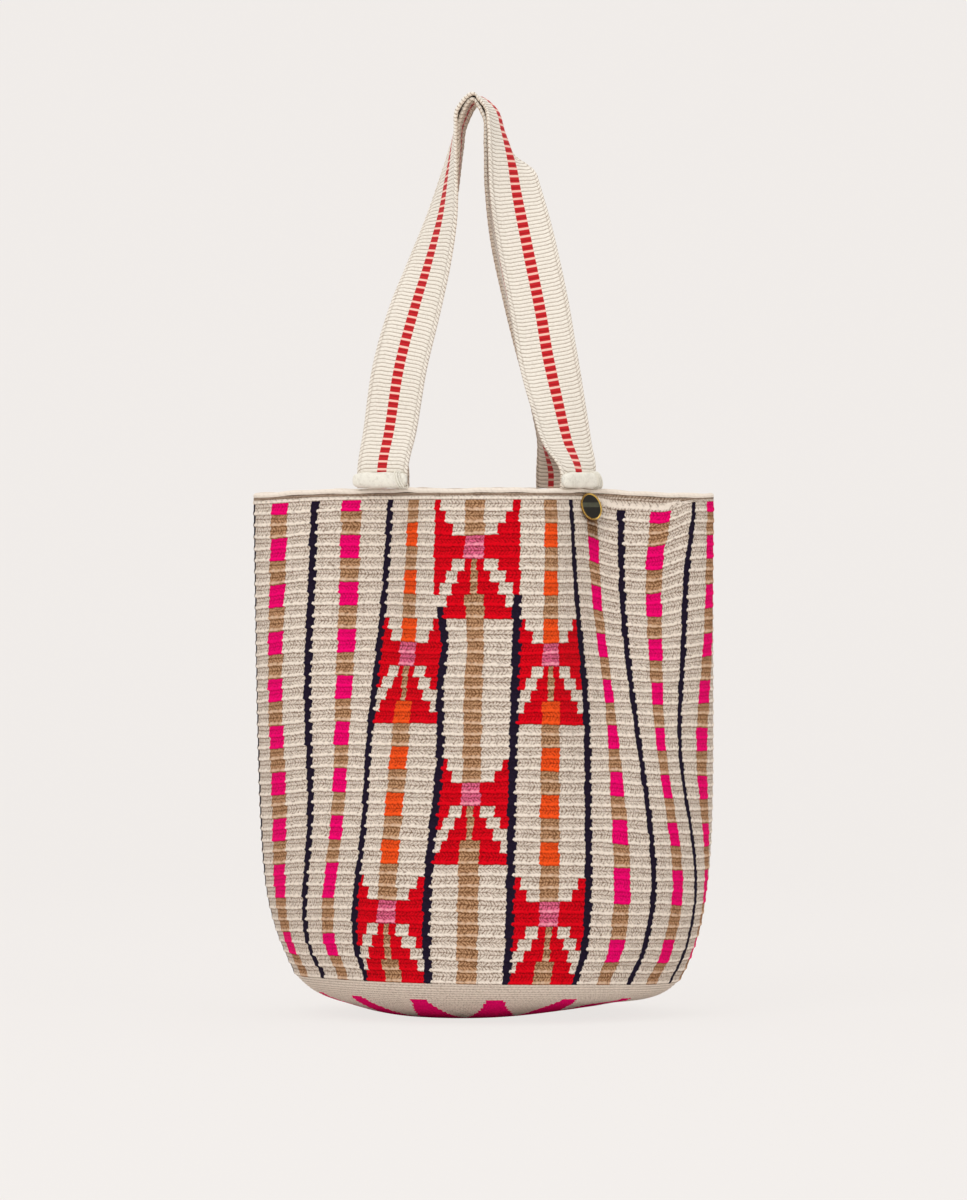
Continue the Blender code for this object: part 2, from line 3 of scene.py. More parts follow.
import bpy
import numpy as np
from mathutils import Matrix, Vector


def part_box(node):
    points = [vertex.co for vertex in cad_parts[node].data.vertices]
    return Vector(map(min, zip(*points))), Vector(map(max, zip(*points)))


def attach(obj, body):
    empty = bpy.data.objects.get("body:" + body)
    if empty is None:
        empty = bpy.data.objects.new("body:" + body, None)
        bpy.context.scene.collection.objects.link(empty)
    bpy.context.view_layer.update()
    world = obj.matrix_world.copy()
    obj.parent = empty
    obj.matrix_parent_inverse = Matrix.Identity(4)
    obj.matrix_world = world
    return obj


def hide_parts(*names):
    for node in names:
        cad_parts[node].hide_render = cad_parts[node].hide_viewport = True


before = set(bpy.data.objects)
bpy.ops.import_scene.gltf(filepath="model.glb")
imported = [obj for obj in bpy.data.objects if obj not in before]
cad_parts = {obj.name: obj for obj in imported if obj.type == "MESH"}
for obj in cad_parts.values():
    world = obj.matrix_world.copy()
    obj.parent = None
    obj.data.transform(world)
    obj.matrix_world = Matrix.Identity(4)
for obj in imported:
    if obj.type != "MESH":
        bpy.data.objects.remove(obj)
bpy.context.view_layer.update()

bl_info = {
    "name": "Crocheted Shopper Bag",
    "version": (1, 0, 0),
    "blender": (4, 5, 0),
    "location": "3D View > Sidebar > Shopper Bag",
    "description": "Builds a crocheted shopper bag piece by piece over its frame",
    "category": "Add Mesh",
}

# The stitch grid: rounds down the wall, stitches round it, and the stitches at its two sides
ROWS = 41
STITCHES = 192
CELL_STITCHES = 12
CELLS = STITCHES // CELL_STITCHES
LEFT_SIDE_STITCH = -42.5
RIGHT_SIDE_STITCH = 49.5
STITCH_COLUMNS = 4
ROW_RINGS = 6
INSIDE_COLUMNS = 2
INSIDE_RINGS = 3
BAND_RINGS = 5
UPPER_ROWS = 20

# Shape exponents, and shares of the wall's height
CORNER_POWER = 2.3
DEPTH_POWER = 1.1
CORNER_FLARE = 0.8
FLARE_SPREAD = 0.12
BULGE_START = 0.12
BULGE_FULL = 0.85

# Samples of the wall's outline, and the steps over which its direction and the skin's slope are
# taken: stitches, a share of the wall's height, and metres across the base
OUTLINE_SAMPLES = 240
NORMAL_STEP = 0.4
SLOPE_STEP = 0.01
BASE_SLOPE_STEP = 0.001

# The front's and the back's outward bulge, in metres from left to right
FRONT_BULGE = (-0.085, -0.026, 0.048, 0.090)
BACK_BULGE = (-0.080, -0.044, 0.036, 0.068)

# How the stitches are drawn sideways on the wall: by how many stitches, round which stitch and how
# widely, and at which share of the wall's height and how widely
DRAWS = (
    (4.6, -31.0, 11.0, 0.30, 0.26),
    (-4.4, 46.0, 11.0, 0.45, 0.22),
    (2.7, 20.0, 5.0, 0.62, 0.22),
    (1.4, 8.0, 5.0, 0.85, 0.45),
    (1.1, -16.0, 6.0, 1.00, 0.20),
    (2.0, 38.0, 5.0, 1.00, 0.09),
    (2.8, -30.0, 16.0, 0.00, 0.05),
    (-2.4, 34.0, 18.0, 0.00, 0.05),
    (-1.2, 36.0, 12.0, 0.08, 0.08),
    (0.9, -24.0, 4.0, 0.55, 0.25),
    (0.7, -18.0, 4.0, 0.30, 0.15),
    (1.4, -6.0, 4.0, 0.48, 0.19),
    (1.3, -6.0, 5.0, 0.70, 0.07),
    (0.5, 12.0, 3.5, 0.95, 0.15),
    (-1.0, 18.0, 2.5, 1.02, 0.04),
    (0.5, 18.0, 4.0, 0.45, 0.25),
    (0.8, 23.0, 5.0, 0.85, 0.25),
    (0.9, 42.0, 3.0, 0.95, 0.10),
    (-1.2, 42.0, 8.0, 0.50, 0.35),
    (-1.2, 50.0, 5.0, 0.35, 0.25),
)

# How the soft body has settled: each settling moves points sideways and up, round a place across
# and a height, so widely and so tall, in metres
SETTLINGS = (
    (0.0, -0.0075, -0.185, 0.040, 0.180, 0.220),
    (0.0, -0.0022, 0.000, 0.130, 0.270, 0.070),
    (0.0, -0.0105, 0.200, 0.100, 0.100, 0.180),
    (0.0, -0.0062, 0.128, 0.040, 0.305, 0.055),
    (0.0, -0.0020, 0.020, 0.080, 0.060, 0.030),
    (0.0, -0.0042, 0.155, 0.045, 0.410, 0.030),
    (0.0, -0.0016, -0.160, 0.070, 0.410, 0.060),
    (0.0042, 0.0, 0.175, 0.050, 0.120, 0.160),
    (0.0035, 0.0, -0.150, 0.050, 0.040, 0.040),
)

# How the base lifts off the floor: how far, round which place across and how widely, and the radii
# between which the lift gives way to the wall's own settling
FOOT_LIFTS = ((0.0050, 0.080, 0.055), (0.0030, -0.110, 0.035))
FOOT_FADE = (0.100, 0.142)

# The dip of the rounds at the right of the front: each step's first stitch, width and share, and
# the rounds over which the dip ends
DIP_STEPS = ((20.0, 10.0, 0.95), (35.5, 7.0, -1.20), (50.0, 12.0, 0.25))
DIP_ROWS = 14.0

# Yarns by number
CREAM, TAN, PINK, RED, ORANGE, ROSE, NAVY = range(7)

# Rounds of each colour down the plain columns, and down the columns beside the middle one
PINK_ROWS = (0, 3, 4, 7, 8, 11, 12, 15, 16, 19, 20, 23, 24, 27, 28, 31, 32, 33, 37, 38)
ORANGE_ROWS = (2, 3, 6, 7, 10, 11, 21, 22, 25, 26, 29, 30)

# Figures of the three figure columns: top round, half width in stitches, and rounds of horns
SIDE_FIGURES = ((10, 5, 2), (32, 5, 2))
MIDDLE_FIGURES = ((0, 6, 3), (22, 5, 2))

# A figure's rounds below its horns, and how many stitches its foot reaches from its middle
BAR_ROUNDS = 2
LEG_ROUNDS = 3
FOOT_ROUNDS = 2
FOOT_REACH = 5

# Round and stitch of a navy stitch that was left out, beside the top figure's foot
BARE_STITCH = (8, -6)

# Each handle: the left end's place across the mouth, points up its left leg, its crown and down
# its right leg, and the right end's place. Places and the points' x and y are shares of the
# mouth's half width, heights are shares of the rise above the bound ends, and the last number is
# the turn in degrees, seen from above, of the way from the line to its near selvage.
FRONT_HANDLE = (
    -0.436,
    (-0.405, -0.229, 0.109, -27),
    (-0.361, -0.209, 0.281, -24),
    (-0.298, -0.183, 0.428, -29),
    (-0.237, -0.149, 0.551, -43),
    (-0.182, -0.109, 0.681, -60),
    (-0.151, -0.069, 0.800, -77),
    (-0.125, -0.029, 0.902, -90),
    (-0.104, -0.011, 0.958, -96),
    (-0.033, 0.000, 1.000, -101),
    (0.048, -0.011, 0.968, -109),
    (0.083, -0.034, 0.904, -118),
    (0.113, -0.063, 0.839, -135),
    (0.140, -0.092, 0.744, -152),
    (0.193, -0.138, 0.585, -173),
    (0.249, -0.189, 0.414, -178),
    (0.273, -0.212, 0.323, -178),
    (0.321, -0.249, 0.182, -158),
    (0.362, -0.281, 0.077, -145),
    0.406,
)
BACK_HANDLE = (
    -0.418,
    (-0.384, 0.321, 0.158, -99),
    (-0.306, 0.269, 0.333, -95),
    (-0.232, 0.206, 0.491, -92),
    (-0.158, 0.138, 0.618, -91),
    (-0.121, 0.069, 0.744, -91),
    (-0.103, 0.023, 0.860, -94),
    (-0.093, 0.014, 0.926, -97),
    (-0.031, 0.009, 0.989, -100),
    (0.033, 0.006, 0.943, -105),
    (0.043, 0.017, 0.870, -106),
    (0.039, 0.057, 0.754, -101),
    (0.054, 0.115, 0.618, -97),
    (0.103, 0.172, 0.456, -94),
    (0.169, 0.241, 0.288, -92),
    (0.226, 0.292, 0.161, -89),
    (0.272, 0.327, 0.070, -79),
    0.301,
)

# The handles: name, line, and the side of the mouth, -1 at the front and 1 at the back
HANDLES = (("front", FRONT_HANDLE, -1), ("back", BACK_HANDLE, 1))

# The curl of the front handle's far half beyond its crown: its turn, where along the strap it grows
# and fades, as shares of the strap's length, and the width over which it bends
CURL_TURN = math.radians(28)
CURL_GROWS = (0.490, 0.530)
CURL_FADES = (0.575, 0.612)
CURL_BEND = 0.012

# The slant of the strands in the selvages' cords, in ribs to a metre across
CORD_TWIST = 330.0

# Samples of the handles' lines, passes that seat a roll, and ribs over which a strap turns upright
LINE_SAMPLES = 1200
SEAT_PASSES = 8
UPRIGHT_RIBS = 6.0

# The base's pattern: stepped points round the foot, a star inside them, a ring and an eye
BASE_POINTS = 14
BASE_TURN = math.radians(3.9)
POINT_RADIUS = 0.1300
POINT_HALF_WIDTH = 0.0062
POINT_SLOPE = 0.26
JOIN_RADIUS = 0.083
STAR_RADIUS = 0.070
RING_RADIUS = 0.040
RING_WIDTH = 0.007
EYE_RADIUS = 0.014
BASE_RINGS = 3
BASE_COLUMNS = 2
BASE_LEAN = 0.37
POLE_RADIUS = 0.0016

# Grids and sections of the smaller pieces
RIB_RINGS = 4
CORD_SAMPLES = 13
FLAT_SAMPLES = 18
EDGE_SIDES = 20
EDGE_COLUMNS = 6
ROLL_RINGS = 60
ROLL_SIDES = 40
ROLL_POWER = 0.84
ROLL_END_POWER = 4.5
THREADS = 3
THREAD_RINGS = 48
THREAD_SIDES = 8
DISC_SIDES = 96

# The threads at a roll's end: how far the first lies from the end, their spacing and their slant
THREAD_INSET = 0.0016
THREAD_SPACING = 0.0022
THREAD_SLANT = 0.0025

# The disc: its stitch, how far round and up the wall its seat is measured, the turn of its axis,
# and half the height of the painted reflection, a paler streak, on its face
STUD_STITCH = 24.0
SEAT_STITCHES = 1.6
SEAT_SHARE = 0.02
DISC_TURN = (0.0, -0.15, 0.2)
REFLECTION_HALF_HEIGHT = 0.0014

# The disc's profiles, as shares of its radius and of its thickness
RIM_PROFILE = (
    (0.80, -0.55),
    (0.97, -0.50),
    (1.0, -0.25),
    (1.0, 0.25),
    (0.99, 0.48),
    (0.975, 0.56),
    (0.955, 0.50),
    (0.945, 0.30),
)
FACE_PROFILE = ((0.95, 0.28), (0.60, 0.36), (0.30, 0.40), (0.02, 0.41))

# The painted shadow under the disc: its half width in stitches, its round, half height and strength
DISC_PAINTED_SHADOW = (1.8, 1.2, 1.4, 0.65)

# The skin of a round, as shares of the round from its top: where its ridge lies and how wide it
# is, down to where the recessed band reaches, and how far the band's fine stitches stand out
RIDGE_PLACE = 0.78
RIDGE_SPREAD = 0.185
FINE_BAND = 0.64
FINE_RISE = 0.16

# How far a navy stitch swells over the next one, in stitches, and down to where in its round
NAVY_SWELL = 0.25
NAVY_SWELL_DEPTH = 0.7

# The lower outer side of the rolled edge, which shows the rim's tone, partly the tan chain under it and
# partly painted shade, as turns about its middle line
EDGE_SHADED_UNDERSIDE = (math.radians(295), math.radians(330))

# Tones of the cloths beside the yarns' own: the painted shade in the gaps between strands, which also
# darkens the flecks, and the painted highlight on the ridges of the crochet, and the painted shade in
# the grooves of the dashes and over the inward side of the webbing
FLECK_AND_GAP_SHADE_TINT = (0.26, 0.20, 0.16, 1)
RIDGE_HIGHLIGHT_TONE = (0.95, 0.87, 0.77, 1)
DASH_GROOVE_SHADE_TINT = (0.55, 0.35, 0.35, 1)
INWARD_SHADE_TINT = (0.90, 0.80, 0.72, 1)

# The camera and the sweep of the backdrop, in metres
CAMERA_DISTANCE = 6.0
CAMERA_HEIGHT = 0.400
CAMERA_LENS = 237.1
CAMERA_SENSOR = 36.0
CAMERA_CLIP = (1.0, 20.0)
CAMERA_DROP = 0.086
FLOOR_FRONT = -8.0
FLOOR_BACK = 2.2
SWEEP_RADIUS = 1.4
SWEEP_STEPS = 40
SWEEP_TOP = 4.0
SWEEP_HALF_WIDTH = 5.0
PLAIN_SHARE = 0.9

# The pale dome, and each lamp's name, place, side and power, all aimed at one point
DOME_TINT = (1.0, 0.985, 0.97, 1)
DOME_STRENGTH = 0.70
LAMPS = (
    ("Key", (-1.6, -2.6, 2.6), 2.2, 46.0),
    ("Fill", (2.4, -2.6, 1.6), 2.4, 22.0),
    ("Top", (0.0, 0.4, 3.2), 2.4, 26.0),
)
LAMP_AIM = Vector((0.0, 0.0, 0.35))


def linear(red, green, blue):
    """A colour read off a screen, 0 to 255, as the scene's linear values."""
    shares = (value / 255 for value in (red, green, blue))
    return tuple(v / 12.92 if v < 0.04045 else ((v + 0.055) / 1.055) ** 2.4 for v in shares)


def length(name, default, text):
    """A size in metres."""
    return bpy.props.FloatProperty(
        name=name, default=default, description=text, unit="LENGTH", subtype="DISTANCE", precision=5
    )


def colour(name, default, text):
    """A colour of a yarn or a finish."""
    return bpy.props.FloatVectorProperty(
        name=name, default=default, description=text, subtype="COLOR", size=3, min=0.0, max=1.0
    )


class BagSizes(bpy.types.PropertyGroup):
    """Sizes of the bag's pieces."""

    mouth_half_width: length("Mouth half width", 0.1745, "Half the body's width at its mouth")
    mouth_middle_depth: length("Mouth depth", 0.086, "Half the body's depth at its mouth")
    base_radius: length("Base radius", 0.146, "Radius where the base turns into the wall")
    flat_radius: length("Flat radius", 0.055, "Radius of the base's flat middle")
    corner_reach: length("Corner reach", 0.105, "Width of the base's rounded corner")
    corner_height: length("Corner height", 0.075, "Height of the base's rounded corner")
    wall_thickness: length("Wall thickness", 0.004, "Thickness of the crochet")
    row_pitch: length("Round pitch", 0.00875, "Height of one ridged round of the wall")
    ridge_rise: length("Ridge rise", 0.0009, "How far a ridge stands out of the wall")
    top_band: length("Top band", 0.005, "Height of the plain band under the rolled edge")
    bulge_depth: length("Bulge depth", 0.042, "How far the wall bulges between the handles")
    foot_shift: length("First stitch at the foot", -0.0126, "X of the first stitch at the foot")
    mouth_shift: length("First stitch at the mouth", -0.0067, "X of the first stitch at the mouth")
    dip_depth: length("Dip depth", 0.0072, "How far the rounds dip at the right of the front")
    round_pitch: length("Base round pitch", 0.0030, "Width of one fine round of the base")
    round_rise: length("Base round rise", 0.0007, "How far a fine round stands out of the base")
    edge_radius: length("Edge radius", 0.0022, "Radius of the rolled edge")
    edge_drop: length("Edge drop", 0.0011, "How far the rolled edge sinks onto the wall")
    strap_width: length("Strap width", 0.045, "Width of the webbing")
    strap_thickness: length("Strap thickness", 0.0021, "Thickness of the webbing")
    stripe_width: length("Stripe width", 0.0086, "Width of the webbing's middle stripe")
    rib_pitch: length("Rib pitch", 0.00295, "Length of one cross rib of the webbing")
    strap_rise: length("Strap rise", 0.285, "Height of the handles above their bound ends")
    cord_radius: length("Selvage cord", 0.0016, "Radius of the cord along each selvage")
    roll_height: length("Roll height", 0.0120, "Height of the rolls at the straps' ends")
    roll_shift: length("Roll shift", 0.0034, "How far a roll lies outward of its strap")
    roll_depth: length("Roll depth", 0.008, "Depth of the rolls at the straps' ends")
    roll_overhang: length("Roll overhang", 0.0012, "How far a roll reaches past the strap")
    thread_radius: length("Thread radius", 0.0006, "Radius of the sewing thread")
    disc_radius: length("Disc radius", 0.0106, "Radius of the brass disc")
    disc_thickness: length("Disc thickness", 0.0016, "Thickness of the brass disc")
    disc_below_edge: length("Disc below the edge", 0.011, "Depth of the disc's middle")
    clearance: length("Clearance", 0.0003, "Gap between pieces that lie on each other")


class BagColours(bpy.types.PropertyGroup):
    """Colours of the yarns and the finishes."""

    cream: colour("Cream yarn", linear(232, 219, 205), "The ground of the crochet")
    tan: colour("Tan yarn", linear(200, 155, 116), "The tan blocks")
    pink: colour("Pink yarn", linear(240, 2, 110), "The pink blocks")
    red: colour("Red yarn", linear(220, 2, 24), "The red figures")
    orange: colour("Orange yarn", linear(244, 84, 30), "The orange blocks")
    rose: colour("Rose yarn", linear(238, 108, 148), "The middle of the figures")
    navy: colour("Navy yarn", linear(32, 23, 42), "The thin columns")
    webbing: colour("Webbing", linear(232, 225, 213), "The ground of the webbing")
    stripe: colour("Stripe", linear(190, 20, 30), "The dashes along the webbing")
    stripe_ground: colour("Stripe ground", linear(240, 194, 178), "Between the dashes")
    binding: colour("Binding", linear(231, 227, 215), "The rolls at the webbing's ends")
    groove: colour("Groove", linear(120, 92, 66), "The shade in the grooves of the webbing")
    brass: colour("Brass", linear(196, 160, 84), "The disc's edge")
    mirror: colour("Mirror", linear(34, 30, 22), "The disc's dark face")
    # a painted reflection on the disc's face
    mirror_painted_reflection: colour("Mirror streak", linear(112, 114, 92), "The streak on the dark face")
    # partly the tan chain under the rolled edge, partly painted shade in the gap there
    rim_chain_and_shade: colour("Rim line", linear(158, 134, 112), "The gap under the rolled edge")
    floor: colour("Floor", linear(241, 237, 234), "The floor and the backdrop")


def smooth(share):
    """A step from 0 to 1 that starts and ends level: 3x^2 - 2x^3."""
    share = np.clip(share, 0.0, 1.0)
    return share * share * (3.0 - 2.0 * share)


def ramp(value, start, end):
    """0 at a start, 1 at an end, smooth between."""
    return smooth((value - start) / (end - start))


def run(steps):
    """How far each point lies along its line, from the steps between them."""
    return np.concatenate(([0.0], np.cumsum(steps)))


def unit(vectors):
    """Vectors brought to length 1."""
    return vectors / np.linalg.norm(vectors, axis=-1, keepdims=True)


def signed_power(values, power):
    """Values raised to a power with their signs kept, which makes a circle a superellipse."""
    return np.sign(values) * np.abs(values) ** power


def corner_rise(size, radius):
    """Height of the base's underside at a radius: flat, then a quarter of a superellipse."""
    reach = np.clip((radius - size.flat_radius) / size.corner_reach, 0.0, 1.0)
    return size.corner_height * (1.0 - (1.0 - reach**CORNER_POWER) ** (1.0 / CORNER_POWER))


def wall_top(size):
    """Height of the wall's upper end."""
    return base_rise(size) + ROWS * size.row_pitch + size.top_band


def base_rise(size):
    """Height where the base turns into the wall."""
    return float(corner_rise(size, size.base_radius))


def half_width(size, share):
    """Half width of the wall at a share of its height: it opens fast, then slowly."""
    fast = CORNER_FLARE * (1.0 - math.exp(-share / FLARE_SPREAD))
    spread = size.mouth_half_width - size.base_radius
    return size.base_radius + spread * (fast + (1.0 - CORNER_FLARE) * share)


def bulge(x, edges):
    """1 between the two inner edges of a bulge, 0 outside its outer edges."""
    left_out, left_in, right_in, right_out = edges
    return ramp(x, left_out, left_in) * ramp(-x, -right_out, -right_in)


def outline(size, share):
    """The wall seen from above at a share of its height, as x, y and stitch arrays: an ellipse
    whose front and back bulge between the handles."""
    wide = half_width(size, share)
    push = size.bulge_depth * float(ramp(share, BULGE_START, BULGE_FULL))
    narrowing = size.base_radius - size.mouth_middle_depth
    deep = size.base_radius - narrowing * share**DEPTH_POWER - push
    turn = np.linspace(0.0, math.pi, OUTLINE_SAMPLES)
    front_x = -wide * np.cos(turn)
    front_y = -deep * np.sin(turn) - push * bulge(front_x, FRONT_BULGE)
    back_x = -front_x
    back_y = deep * np.sin(turn) + push * bulge(back_x, BACK_BULGE)
    along = run(np.hypot(np.diff(front_x), np.diff(front_y)))
    first_x = size.foot_shift + share * (size.mouth_shift - size.foot_shift)
    first = np.interp(first_x, front_x, along)
    marks = (LEFT_SIDE_STITCH, 0.0, RIGHT_SIDE_STITCH)
    front_stitch = np.interp(along, (0.0, first, along[-1]), marks)
    back = run(np.hypot(np.diff(back_x), np.diff(back_y)))
    behind = STITCHES + LEFT_SIDE_STITCH - RIGHT_SIDE_STITCH
    back_stitch = RIGHT_SIDE_STITCH + behind * back / back[-1]
    x = np.concatenate((front_x, back_x[1:]))
    y = np.concatenate((front_y, back_y[1:]))
    return x, y, np.concatenate((front_stitch, back_stitch[1:]))


def on_outline(line, stitches):
    """Points of an outline at these stitches, an array of x and y."""
    x, y, marks = line
    turned = (stitches - LEFT_SIDE_STITCH) % STITCHES + LEFT_SIDE_STITCH
    return np.stack((np.interp(turned, marks, x), np.interp(turned, marks, y)), axis=-1)


def wall_ring(size, stitches, share, out=0.0):
    """Points of the wall at a share of its height, pushed out along the skin's own normal."""
    line = outline(size, share)
    way = on_outline(line, stitches + NORMAL_STEP) - on_outline(line, stitches - NORMAL_STEP)
    normal = unit(np.stack((way[..., 1], -way[..., 0]), axis=-1))
    tall = wall_top(size) - base_rise(size)
    low, high = max(share - SLOPE_STEP, 0.0), min(share + SLOPE_STEP, 1.0)
    rise = half_width(size, high) - half_width(size, low)
    lean = math.atan2(rise, (high - low) * tall)
    out = np.broadcast_to(out, stitches.shape)
    flat = on_outline(line, stitches) + normal * (out * math.cos(lean))[..., None]
    height = base_rise(size) + share * tall - out * math.sin(lean)
    return np.concatenate((flat, height[..., None]), axis=-1)


def base_ring(size, stitches, radius, out=0.0):
    """Points of the base at a radius, pushed out along the skin's own normal."""
    spoke = on_outline(outline(size, 0.0), stitches) / size.base_radius
    rise = corner_rise(size, radius + BASE_SLOPE_STEP) - corner_rise(size, radius)
    lean = math.atan2(float(rise), BASE_SLOPE_STEP)
    out = np.broadcast_to(out, stitches.shape)
    flat = spoke * (radius + out * math.sin(lean))[..., None]
    height = float(corner_rise(size, radius)) - out * math.cos(lean)
    return np.concatenate((flat, height[..., None]), axis=-1)


def settled(points):
    """Points of the body as it has settled: each settling is a hill across and in height."""
    moved = np.array(points, dtype=float)
    for sideways, up, x, wide, z, tall in SETTLINGS:
        hill = np.exp(-(((points[..., 0] - x) / wide) ** 2) - (((points[..., 2] - z) / tall) ** 2))
        moved[..., 0] += sideways * hill
        moved[..., 2] += up * hill
    return moved


def settled_base(points):
    """Points of the base as it has settled: it follows the wall at its rim, and lifts off the
    floor by a hill at each side of its middle."""
    radius = np.hypot(points[..., 0], points[..., 1])
    share = ramp(radius, *FOOT_FADE)
    moved = points + (settled(points) - points) * share[..., None]
    for most, x, wide in FOOT_LIFTS:
        moved[..., 2] += most * np.exp(-(((points[..., 0] - x) / wide) ** 2)) * (1.0 - share)
    return moved


def figure(yarn, centre, top, half, horns, accent):
    """Paints one figure of the chart round a centre stitch: horns that open upward, a bar with a
    block in its middle, two legs that part, and a foot."""
    stitch = np.arange(STITCHES)
    away = np.abs((stitch - centre + STITCHES // 2) % STITCHES - STITCHES // 2)
    legs = horns + BAR_ROUNDS
    foot = legs + LEG_ROUNDS
    inside = (away <= half) & (away > 1)
    for row in range(foot + FOOT_ROUNDS):
        line = yarn[top + row]
        if row < horns:
            line[inside] = CREAM
            line[(away >= half - row) & (away <= half)] = RED
        elif row < legs:
            line[inside] = RED
            line[away <= 1] = ROSE
        elif row < foot:
            step = row - legs
            line[inside] = RED
            line[away == 0] = TAN
            line[(away >= 1) & (away <= 1 + step)] = RED
            line[(away >= 2 + step) & (away <= 3 + step) & (away <= half)] = CREAM
        else:
            reach = FOOT_REACH - 1 if row == foot else FOOT_REACH
            line[inside & (away <= FOOT_REACH)] = CREAM
            line[away <= 1] = accent
            line[(away >= 2) & (away <= reach)] = RED


def chart():
    """The yarn of each stitch of the wall: rounds down, stitches round, 0 in the front's middle.
    Columns three stitches wide stand twelve apart, with one navy stitch between each two."""
    yarn = np.full((ROWS, STITCHES), CREAM)
    stitch = np.arange(STITCHES)
    away = (stitch + CELL_STITCHES // 2) % CELL_STITCHES - CELL_STITCHES // 2
    cell = (stitch + CELL_STITCHES // 2) // CELL_STITCHES % CELLS
    half = CELLS // 2
    middle = np.isin(cell, (0, half))
    beside = np.isin(cell, (1, half - 1, half + 1, CELLS - 1))
    column = np.abs(away) <= 1
    yarn[:, column] = TAN
    yarn[np.ix_(PINK_ROWS, column & ~middle & ~beside)] = PINK
    yarn[np.ix_(ORANGE_ROWS, column & beside)] = ORANGE
    yarn[:, away == -CELL_STITCHES // 2] = NAVY
    for number in (0, half):
        for top, wide, horns in MIDDLE_FIGURES:
            figure(yarn, number * CELL_STITCHES, top, wide, horns, TAN)
    for number in (1, half - 1, half + 1, CELLS - 1):
        for top, wide, horns in SIDE_FIGURES:
            accent = ORANGE if top == SIDE_FIGURES[0][0] else TAN
            figure(yarn, number * CELL_STITCHES, top, wide, horns, accent)
    yarn[BARE_STITCH] = CREAM
    return yarn


def palette(colours):
    """The yarns' colours as rows of red, green, blue and how much the stitches show in them, which
    sets how strong the painted shade between the stitches and the painted highlight on the ridges are.
    """
    yarns = (
        (colours.cream, 1.0),
        (colours.tan, 1.3),
        (colours.pink, 0.64),
        (colours.red, 0.82),
        (colours.orange, 0.84),
        (colours.rose, 1.2),
        (colours.navy, 0.5),
    )
    return np.array([(*tone, show) for tone, show in yarns])


def add_surface(name, points, across, down, closed=False, tone=None, relief=None, caps=(False, False)):
    """A grid of quads through rows of points. across and down are the columns' and the rows' own
    places, kept as a UV map; tone is a colour for each quad, and relief a share for each point.
    closed joins the last column to the first, and caps close the first and the last row on their
    middles."""
    rows, columns = points.shape[:2]
    across, down = np.broadcast_arrays(across, down[:, None])
    first = np.arange(rows - 1)[:, None]
    left = np.arange(columns if closed else columns - 1)[None, :]
    quads = (rows - 1, left.size, 4)
    near = np.broadcast_to(np.stack((first, first + 1, first + 1, first), -1), quads)
    side = np.broadcast_to(np.stack((left, left, left + 1, left + 1), -1), quads)
    loops = (near * columns + side % columns).reshape(-1)
    starts = np.arange(0, loops.size, 4)
    places = np.stack((across[near, side], down[near, side]), -1).reshape(-1, 2)
    vertices = points.reshape(-1, 3)
    if tone is not None:
        tone = np.broadcast_to(tone, quads)
        painted = np.repeat(tone.reshape(-1, 4), 4, axis=0)
    if relief is not None:
        relief = np.broadcast_to(relief, (rows, columns))
        level = relief.reshape(-1)
    ahead = (np.arange(columns) + 1) % columns
    for row, wanted in ((0, caps[0]), (rows - 1, caps[1])):
        if not wanted:
            continue
        ring = row * columns + np.arange(columns)
        nearer, farther = (row * columns + ahead, ring) if row else (ring, row * columns + ahead)
        fan = np.stack((nearer, farther, 0 * ring + len(vertices)), -1)
        starts = np.concatenate((starts, loops.size + np.arange(0, fan.size, 3)))
        loops = np.concatenate((loops, fan.reshape(-1)))
        rim = np.stack((across[row, :columns], down[row, :columns]), -1)
        places = np.concatenate((places, np.repeat(rim, 3, axis=0)))
        vertices = np.concatenate((vertices, points[row].mean(0)[None, :]))
        if tone is not None:
            painted = np.concatenate((painted, np.repeat(tone[min(row, rows - 2)], 3, axis=0)))
        if relief is not None:
            level = np.append(level, relief[row].mean())
    mesh = bpy.data.meshes.new(name)
    mesh.vertices.add(len(vertices))
    mesh.vertices.foreach_set("co", vertices.reshape(-1))
    mesh.loops.add(len(loops))
    mesh.loops.foreach_set("vertex_index", loops)
    mesh.polygons.add(len(starts))
    mesh.polygons.foreach_set("loop_start", starts)
    mesh.polygons.foreach_set("use_smooth", np.ones(len(starts), dtype=bool))
    mesh.uv_layers.new(name="stitch").uv.foreach_set("vector", places.reshape(-1))
    if tone is not None:
        layer = mesh.color_attributes.new("yarn", "FLOAT_COLOR", "CORNER")
        layer.data.foreach_set("color", painted.reshape(-1))
    if relief is not None:
        layer = mesh.attributes.new("relief", "FLOAT", "POINT")
        layer.data.foreach_set("value", level)
    mesh.update(calc_edges=True)
    if mesh.validate():
        raise RuntimeError(name + " has a broken mesh")
    made = bpy.data.objects.new(name, mesh)
    bpy.context.scene.collection.objects.link(made)
    return made


def finish_piece(piece, slot, material, *nodes):
    """Gives a piece its material and its place in the frame."""
    piece.data.materials.append(material)
    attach(piece, "root")
    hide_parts(*nodes)


def row_relief(stitch, place):
    """How far the skin of a round stands out, 0 to 1, at a stitch and a place down the round: a
    recessed band of fine stitches, then a beaded ridge at its lower end."""
    beads = 0.84 + 0.10 * np.cos(2 * math.pi * (stitch - 0.3 * place)) + 0.06 * np.sin(2.7 * stitch)
    ridge = np.exp(-(((place - RIDGE_PLACE) / RIDGE_SPREAD) ** 2)) * beads
    fine = FINE_RISE * np.abs(np.sin(3 * math.pi * np.clip(place / FINE_BAND, 0.0, 1.0)))
    return np.maximum(ridge, fine * (0.7 + 0.3 * np.cos(4 * math.pi * stitch)))


